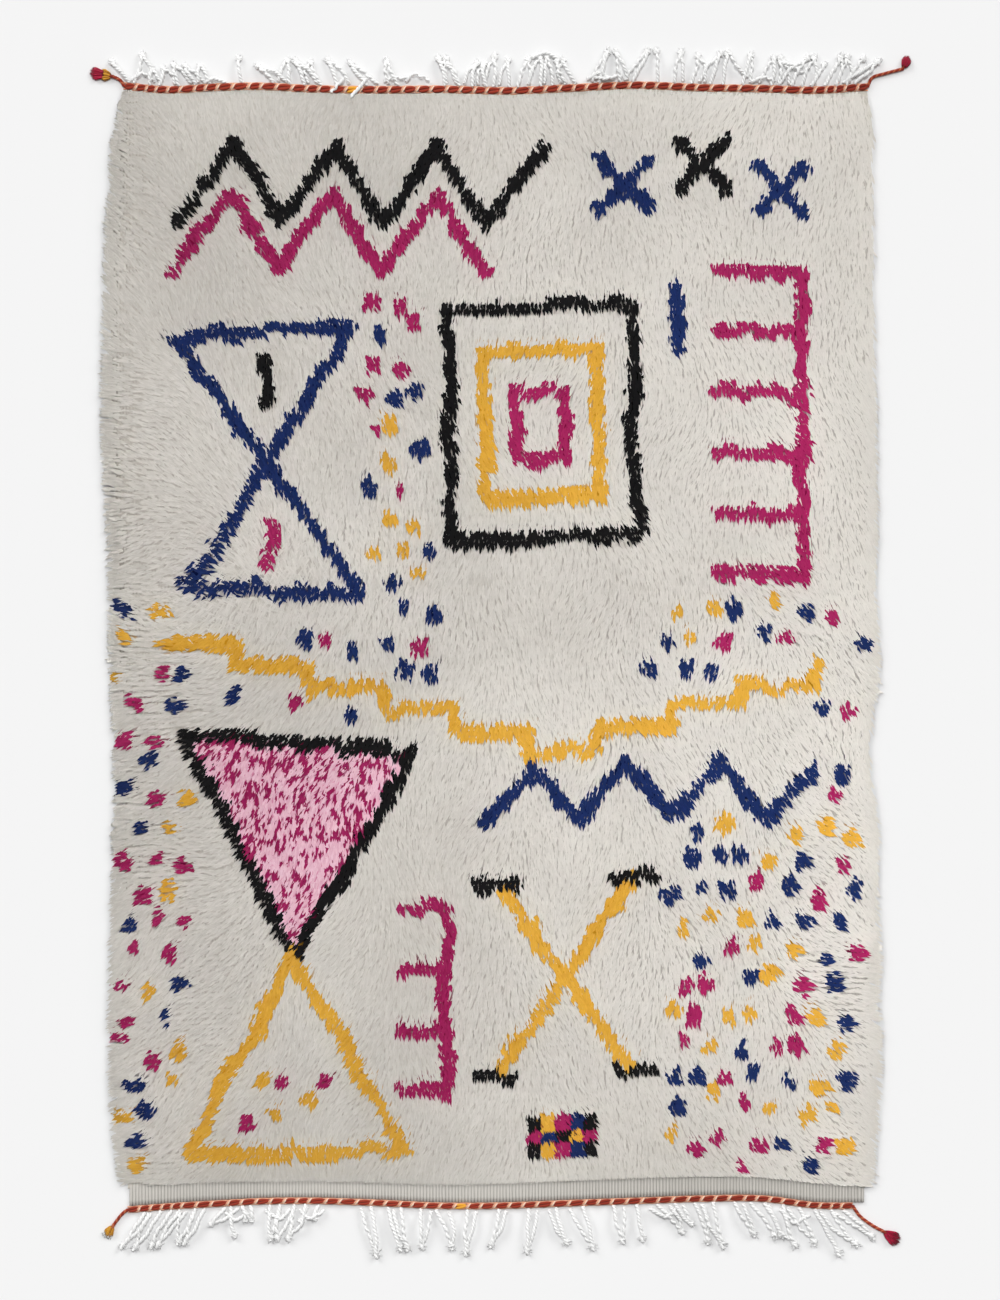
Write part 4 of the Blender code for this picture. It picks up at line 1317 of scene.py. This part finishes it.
def make_tuft(corner, braid_end, braid_way):
    """A bound head and its fans of cut yarn ends, from the braid's end to the far side of the solid."""
    points = np.array([vert.co[:] for vert in nodes[f"tuft_{corner}"].data.vertices])
    outward = points[:, :2] - braid_end
    reach = np.linalg.norm(outward, axis=1)
    tip = points[reach > reach.max() * TIP_SHARE, :2].mean(0)
    way = unit(tip - braid_end)
    aside = np.array([way[1], -way[0]])
    half_spread = np.abs(outward @ aside).max()
    length = (outward @ way).max()
    own = np.random.default_rng(len(corner) * 7 + 3)
    objects = []
    for number, fan in enumerate(FANS[corner]):
        count = fan.strands
        clump = own.integers(0, CLUMPS, count)
        turn = np.linspace(-CLUMP_TURN, CLUMP_TURN, CLUMPS)[clump] + own.normal(0, STRAND_TURN, count)
        clump_reach = own.uniform(*CLUMP_REACHES, CLUMPS)[clump]
        start = length * fan.start + FAN_START
        stop = length * (fan.stop - (fan.stop - fan.start) * ROUNDED_TIP * turn**2)
        stop = stop * clump_reach * own.uniform(*STRAND_REACHES, count)
        root_aside = turn * FAN_ROOT_SPREAD * (1 if fan.start == 0 else BACK_FAN_SPREAD)
        tip_aside = turn * half_spread * fan.spread
        roots = braid_end + way * start + aside * root_aside[:, None]
        roots = np.column_stack([roots, own.uniform(*STRAND_ROOT_HEIGHTS, count)])
        tips = braid_end + way * stop[:, None] + aside * tip_aside[:, None]
        tips = np.column_stack([tips, own.uniform(*STRAND_TIP_HEIGHTS, count)])
        arches = (roots + tips) / 2
        arches[:, :2] += aside * (tip_aside * FAN_BOW)[:, None]
        arches[:, 2] = own.uniform(*FAN_ARCHES, count) * fan.height
        objects.append(
            make_locks(
                f"fan_{corner}_{number}", TUFT_YARNS[fan.colour], lock_template(3, 2),
                roots, arches, tips, own.uniform(*STRAND_WIDTHS, count), own.random(count) ** TONE_BIAS,
            )
        )
    head_start = np.array([*(braid_end - braid_way * BINDING_OVERLAP), BINDING_HEIGHTS[0]])
    head_stop = np.array([*(braid_end + way * BINDING_LENGTH), BINDING_HEIGHTS[1]])
    head_line = np.vstack([head_start, (head_start + head_stop) / 2, head_stop])
    head, head_lengths = resampled(head_line, BINDING_STEP)
    binding = wound(head, head_lengths, BINDING_TURN, BINDING_ORBIT, 0.0)
    binder = "salmon" if corner == "bottom_left" else "brick"
    objects.append(make_yarns(f"binding_{corner}", [(binding, BINDING_RADIUS)], YARN_MATERIALS[binder]))
    piece = joined(f"tuft_{corner}_yarns", objects)
    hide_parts(f"tuft_{corner}")
    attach(piece, "root")
    return piece


BRAID_ENDS = {
    "top_left": top_cord[[0, 1]],
    "top_right": top_cord[[-1, -2]],
    "bottom_left": bottom_cord[[0, 1]],
    "bottom_right": bottom_cord[[-1, -2]],
}
tufts = [make_tuft(corner, end, unit(end - before)) for corner, (end, before) in BRAID_ENDS.items()]


# The fringe is the warp itself: white cotton ends, two-ply and still kinked from the weaving, that leave
# the edging singly or in pairs. Each is knotted near its end and frays out beyond the knot.
KNOT_HEIGHT = 0.0075
MIDDLE_HEIGHT = 0.0050
TIP_HEIGHT = 0.0035
ROOT_HEIGHT = 0.0040
PLY_RADIUS = 0.0025
PLY_ORBIT = 0.0019
PLY_TURN = 0.0150
KNOT_LOOP = 0.0040
KNOT_LENGTH = 0.0062
KNOT_TURNS = 2.1
KNOT_MIDDLE_HEIGHT = 0.0036
KNOT_GIRTH = 0.92
KNOT_SIZES = (0.85, 1.2)
KNOT_WIDTH = 1.1
KNOT_HEIGHT_SHARE = 0.78
FRAY_STRANDS = 26
FRAY_SPREAD = 0.80
FRAY_REACHES = (0.55, 1.05)
FRAY_WIDTHS = (0.0016, 0.0028)
FRAY_STARTS = (-0.002, 0.004)
FRAY_SCATTER = 0.0014
FRAY_LENGTH = 0.92
FRAY_BOW = 0.0026
FRAY_ROOT_HEIGHTS = (0.002, 0.005)
FRAY_TIP_HEIGHTS = (0.0010, 0.0030)
FRAY_ARCH_HEIGHTS = (0.002, 0.012)
STRAND_STEP = 0.0025
STRAND_LIFT = (0.0024, 0.0066)
STRAND_SWAY = 0.0009
SWAY_LENGTH = 0.0075
SWAY_START = 0.02
STRAND_HEAVE = 0.0006
HEAVE_LENGTH = 0.017
SMOOTHINGS = 4
PLY_TURNS = (0.85, 1.2)
STRAND_OVERLAP = 0.004
COMPANION_SHARE = 0.80
COMPANION_OFFSET = (0.014, 0.030)
COMPANION_GIRTH = 0.85
COMPANION_BEND = 0.7
CORNER_INSET = 0.008
STRAY_GIRTH = 0.9

# Warp ends that lie along the edging or across other strands, and two that cross over the edging.
STRAY_ENDS = {
    "top": (
        ((-0.590, 1.141), (-0.572, 1.148), (-0.548, 1.142)),
        ((-0.736, 1.146), (-0.712, 1.160), (-0.690, 1.142)),
        ((-0.232, 1.143), (-0.208, 1.151), (-0.186, 1.147)),
        ((-0.188, 1.142), (-0.172, 1.160), (-0.142, 1.144)),
        ((0.174, 1.147), (0.196, 1.160), (0.222, 1.148)),
        ((0.182, 1.151), (0.210, 1.148), (0.244, 1.153)),
        ((0.504, 1.142), (0.528, 1.152), (0.550, 1.144)),
        ((0.454, 1.206), (0.470, 1.178), (0.494, 1.150)),
        ((0.556, 1.182), (0.580, 1.176), (0.606, 1.160)),
        ((0.064, 1.190), (0.090, 1.202), (0.114, 1.188)),
    ),
    "bottom": (
        ((-0.548, -1.118), (-0.530, -1.136), (-0.508, -1.120)),
        ((-0.470, -1.114), (-0.436, -1.132), (-0.420, -1.112)),
        ((-0.400, -1.112), (-0.380, -1.132), (-0.352, -1.114)),
        ((0.300, -1.110), (0.330, -1.128), (0.352, -1.112)),
        ((0.560, -1.112), (0.590, -1.140), (0.620, -1.122)),
    ),
}
CROSSING_ENDS = (
    ((-0.312, 1.147), (-0.324, 1.134), (-0.338, 1.121)),
    ((-0.266, 1.147), (-0.280, 1.132), (-0.297, 1.110)),
)
CROSSING_HEIGHT = 0.0105


def solid_strands(node):
    """Root, middle, knot and tip of every strand, read off the solid's crests."""
    bm = bmesh.new()
    bm.from_mesh(nodes[node].data)
    bmesh.ops.remove_doubles(bm, verts=bm.verts, dist=1e-5)

    def beside(verts, height):
        found = {other for vert in verts for edge in vert.link_edges for other in edge.verts}
        return [vert for vert in found if abs(vert.co.z - height) < 1e-5]

    def middle_of(verts):
        return np.mean([vert.co[:2] for vert in verts], axis=0)

    strands = []
    used = set()
    for vert in bm.verts:
        if abs(vert.co.z - KNOT_HEIGHT) > 1e-5 or vert in used:
            continue
        knot = beside([vert], KNOT_HEIGHT)
        used.update(knot)
        bend = beside(knot, MIDDLE_HEIGHT)
        corners = (beside(bend, ROOT_HEIGHT), bend, knot, beside(knot, TIP_HEIGHT))
        strands.append([middle_of(verts) for verts in corners])
    bm.free()
    return strands


def strand_path(corners, own):
    """A kinked line through a strand's corners, low on the floor, in 3-D."""
    line, fine = resampled(np.array(corners), STRAND_STEP, least=8)
    for _ in range(SMOOTHINGS):
        line[1:-1] = (line[:-2] + 2 * line[1:-1] + line[2:]) / 4
    aside = sideways(line)[:, :2]
    phase = own.uniform(0, math.tau)
    sway = STRAND_SWAY * np.sin(fine / SWAY_LENGTH + phase) * np.clip(fine / SWAY_START, 0, 1)
    line += aside * sway[:, None]
    height = PLY_RADIUS + PLY_ORBIT + STRAND_HEAVE * (1 + np.sin(fine / HEAVE_LENGTH + phase))
    height += own.uniform(*STRAND_LIFT) * np.sin(math.pi * fine / fine[-1])
    return np.c_[line, height], fine


def plies(path, lengths, own, girth=1.0):
    """The two plies of one warp end."""
    phase = own.random()
    both = []
    for half in (0, 0.5):
        turn = PLY_TURN * own.uniform(*PLY_TURNS)
        both.append((wound(path, lengths, turn, PLY_ORBIT, phase + half), PLY_RADIUS * girth))
    return both


def knot_run(centre, way, own):
    """Two snug turns of the strand's own yarn round it, as an overhand knot shows."""
    steps = np.linspace(0, 1, 26)
    angle = math.tau * (KNOT_TURNS * steps + own.random())
    across = np.array([way[1], -way[0], 0])
    up = np.array([0, 0, 1.0])
    forward = np.array([*way, 0])
    swell = KNOT_LOOP * (0.75 + 0.35 * np.sin(math.pi * steps)) * own.uniform(*KNOT_SIZES)
    loop = centre + forward * ((steps - 0.5) * KNOT_LENGTH)[:, None]
    loop = loop + across * (np.cos(angle) * swell * KNOT_WIDTH)[:, None]
    loop = loop + up * (np.sin(angle) * swell * KNOT_HEIGHT_SHARE)[:, None]
    loop[:, 2] = loop[:, 2].clip(PLY_RADIUS)
    return loop, PLY_RADIUS * KNOT_GIRTH


def make_fringe(end, seed):
    """All the warp ends past one edging, with their knots and frayed tips."""
    own = np.random.default_rng(seed)
    line, is_braid = (top_cord, top_is_braid) if end == "top" else (bottom_cord, bottom_is_braid)
    cord_y = top_cord_y if end == "top" else bottom_cord_y
    first_x, last_x = line[~is_braid][[0, -1], 0]
    runs = []
    frays = []
    for root, bend, knot, tip in solid_strands(f"fringe_{end}"):
        way = unit(tip - knot)
        hidden_root = root - unit(bend - root) * STRAND_OVERLAP
        path, lengths = strand_path([hidden_root, bend, knot, tip - way * STRAND_OVERLAP], own)
        runs += plies(path, lengths, own)
        if own.random() < COMPANION_SHARE:
            aside = own.uniform(*COMPANION_OFFSET) * own.choice((-1, 1))
            aside = np.clip(root[0] + aside, first_x + CORNER_INSET, last_x - CORNER_INSET) - root[0]
            start = root + np.array([aside, 0])
            start[1] = cord_y(start[0]) + root[1] - cord_y(root[0])
            path, lengths = strand_path([start, bend + np.array([aside * COMPANION_BEND, 0]), knot], own)
            runs += plies(path, lengths, own, COMPANION_GIRTH)
        runs.append(knot_run(np.array([*knot, KNOT_MIDDLE_HEIGHT]), way, own))
        for _ in range(FRAY_STRANDS):
            turn = own.normal(0, FRAY_SPREAD)
            fray_way = np.array([way[0] * math.cos(turn) - way[1] * math.sin(turn),
                                 way[0] * math.sin(turn) + way[1] * math.cos(turn)])
            start = knot + way * own.uniform(*FRAY_STARTS) + own.normal(0, FRAY_SCATTER, 2)
            reach = np.linalg.norm(tip - knot) * own.uniform(*FRAY_REACHES)
            frays.append((start, start + fray_way * reach * FRAY_LENGTH))
    for corners in STRAY_ENDS[end]:
        path, lengths = strand_path(corners, own)
        runs += plies(path, lengths, own, STRAY_GIRTH)
    if end == "top":
        for corners in CROSSING_ENDS:
            path, lengths = strand_path(corners, own)
            path[:, 2] = CROSSING_HEIGHT
            runs += plies(path, lengths, own)
    strands = make_yarns(f"fringe_{end}_strands", runs, fringe_cotton)
    starts, stops = np.array(frays).transpose(1, 0, 2)
    count = len(frays)
    roots = np.c_[starts, own.uniform(*FRAY_ROOT_HEIGHTS, count)]
    tips = np.c_[stops, own.uniform(*FRAY_TIP_HEIGHTS, count)]
    arches = (roots + tips) / 2
    arches[:, :2] += own.normal(0, FRAY_BOW, (count, 2))
    arches[:, 2] = own.uniform(*FRAY_ARCH_HEIGHTS, count)
    fray = make_locks(
        f"fray_{end}", fringe_fluff, lock_template(3, 2), roots, arches, tips,
        own.uniform(*FRAY_WIDTHS, count), own.random(count),
    )
    piece = joined(f"fringe_{end}_strands", [strands, fray])
    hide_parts(f"fringe_{end}")
    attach(piece, "root")
    return piece


fringe_cotton = yarn_material("fringe_cotton", linear(246, 246, 245), linear(202, 202, 201), toned=False)
fringe_fluff = yarn_material("fringe_fluff", linear(251, 251, 251), linear(206, 206, 205))
fringe_top = make_fringe("top", 41)
fringe_bottom = make_fringe("bottom", 43)
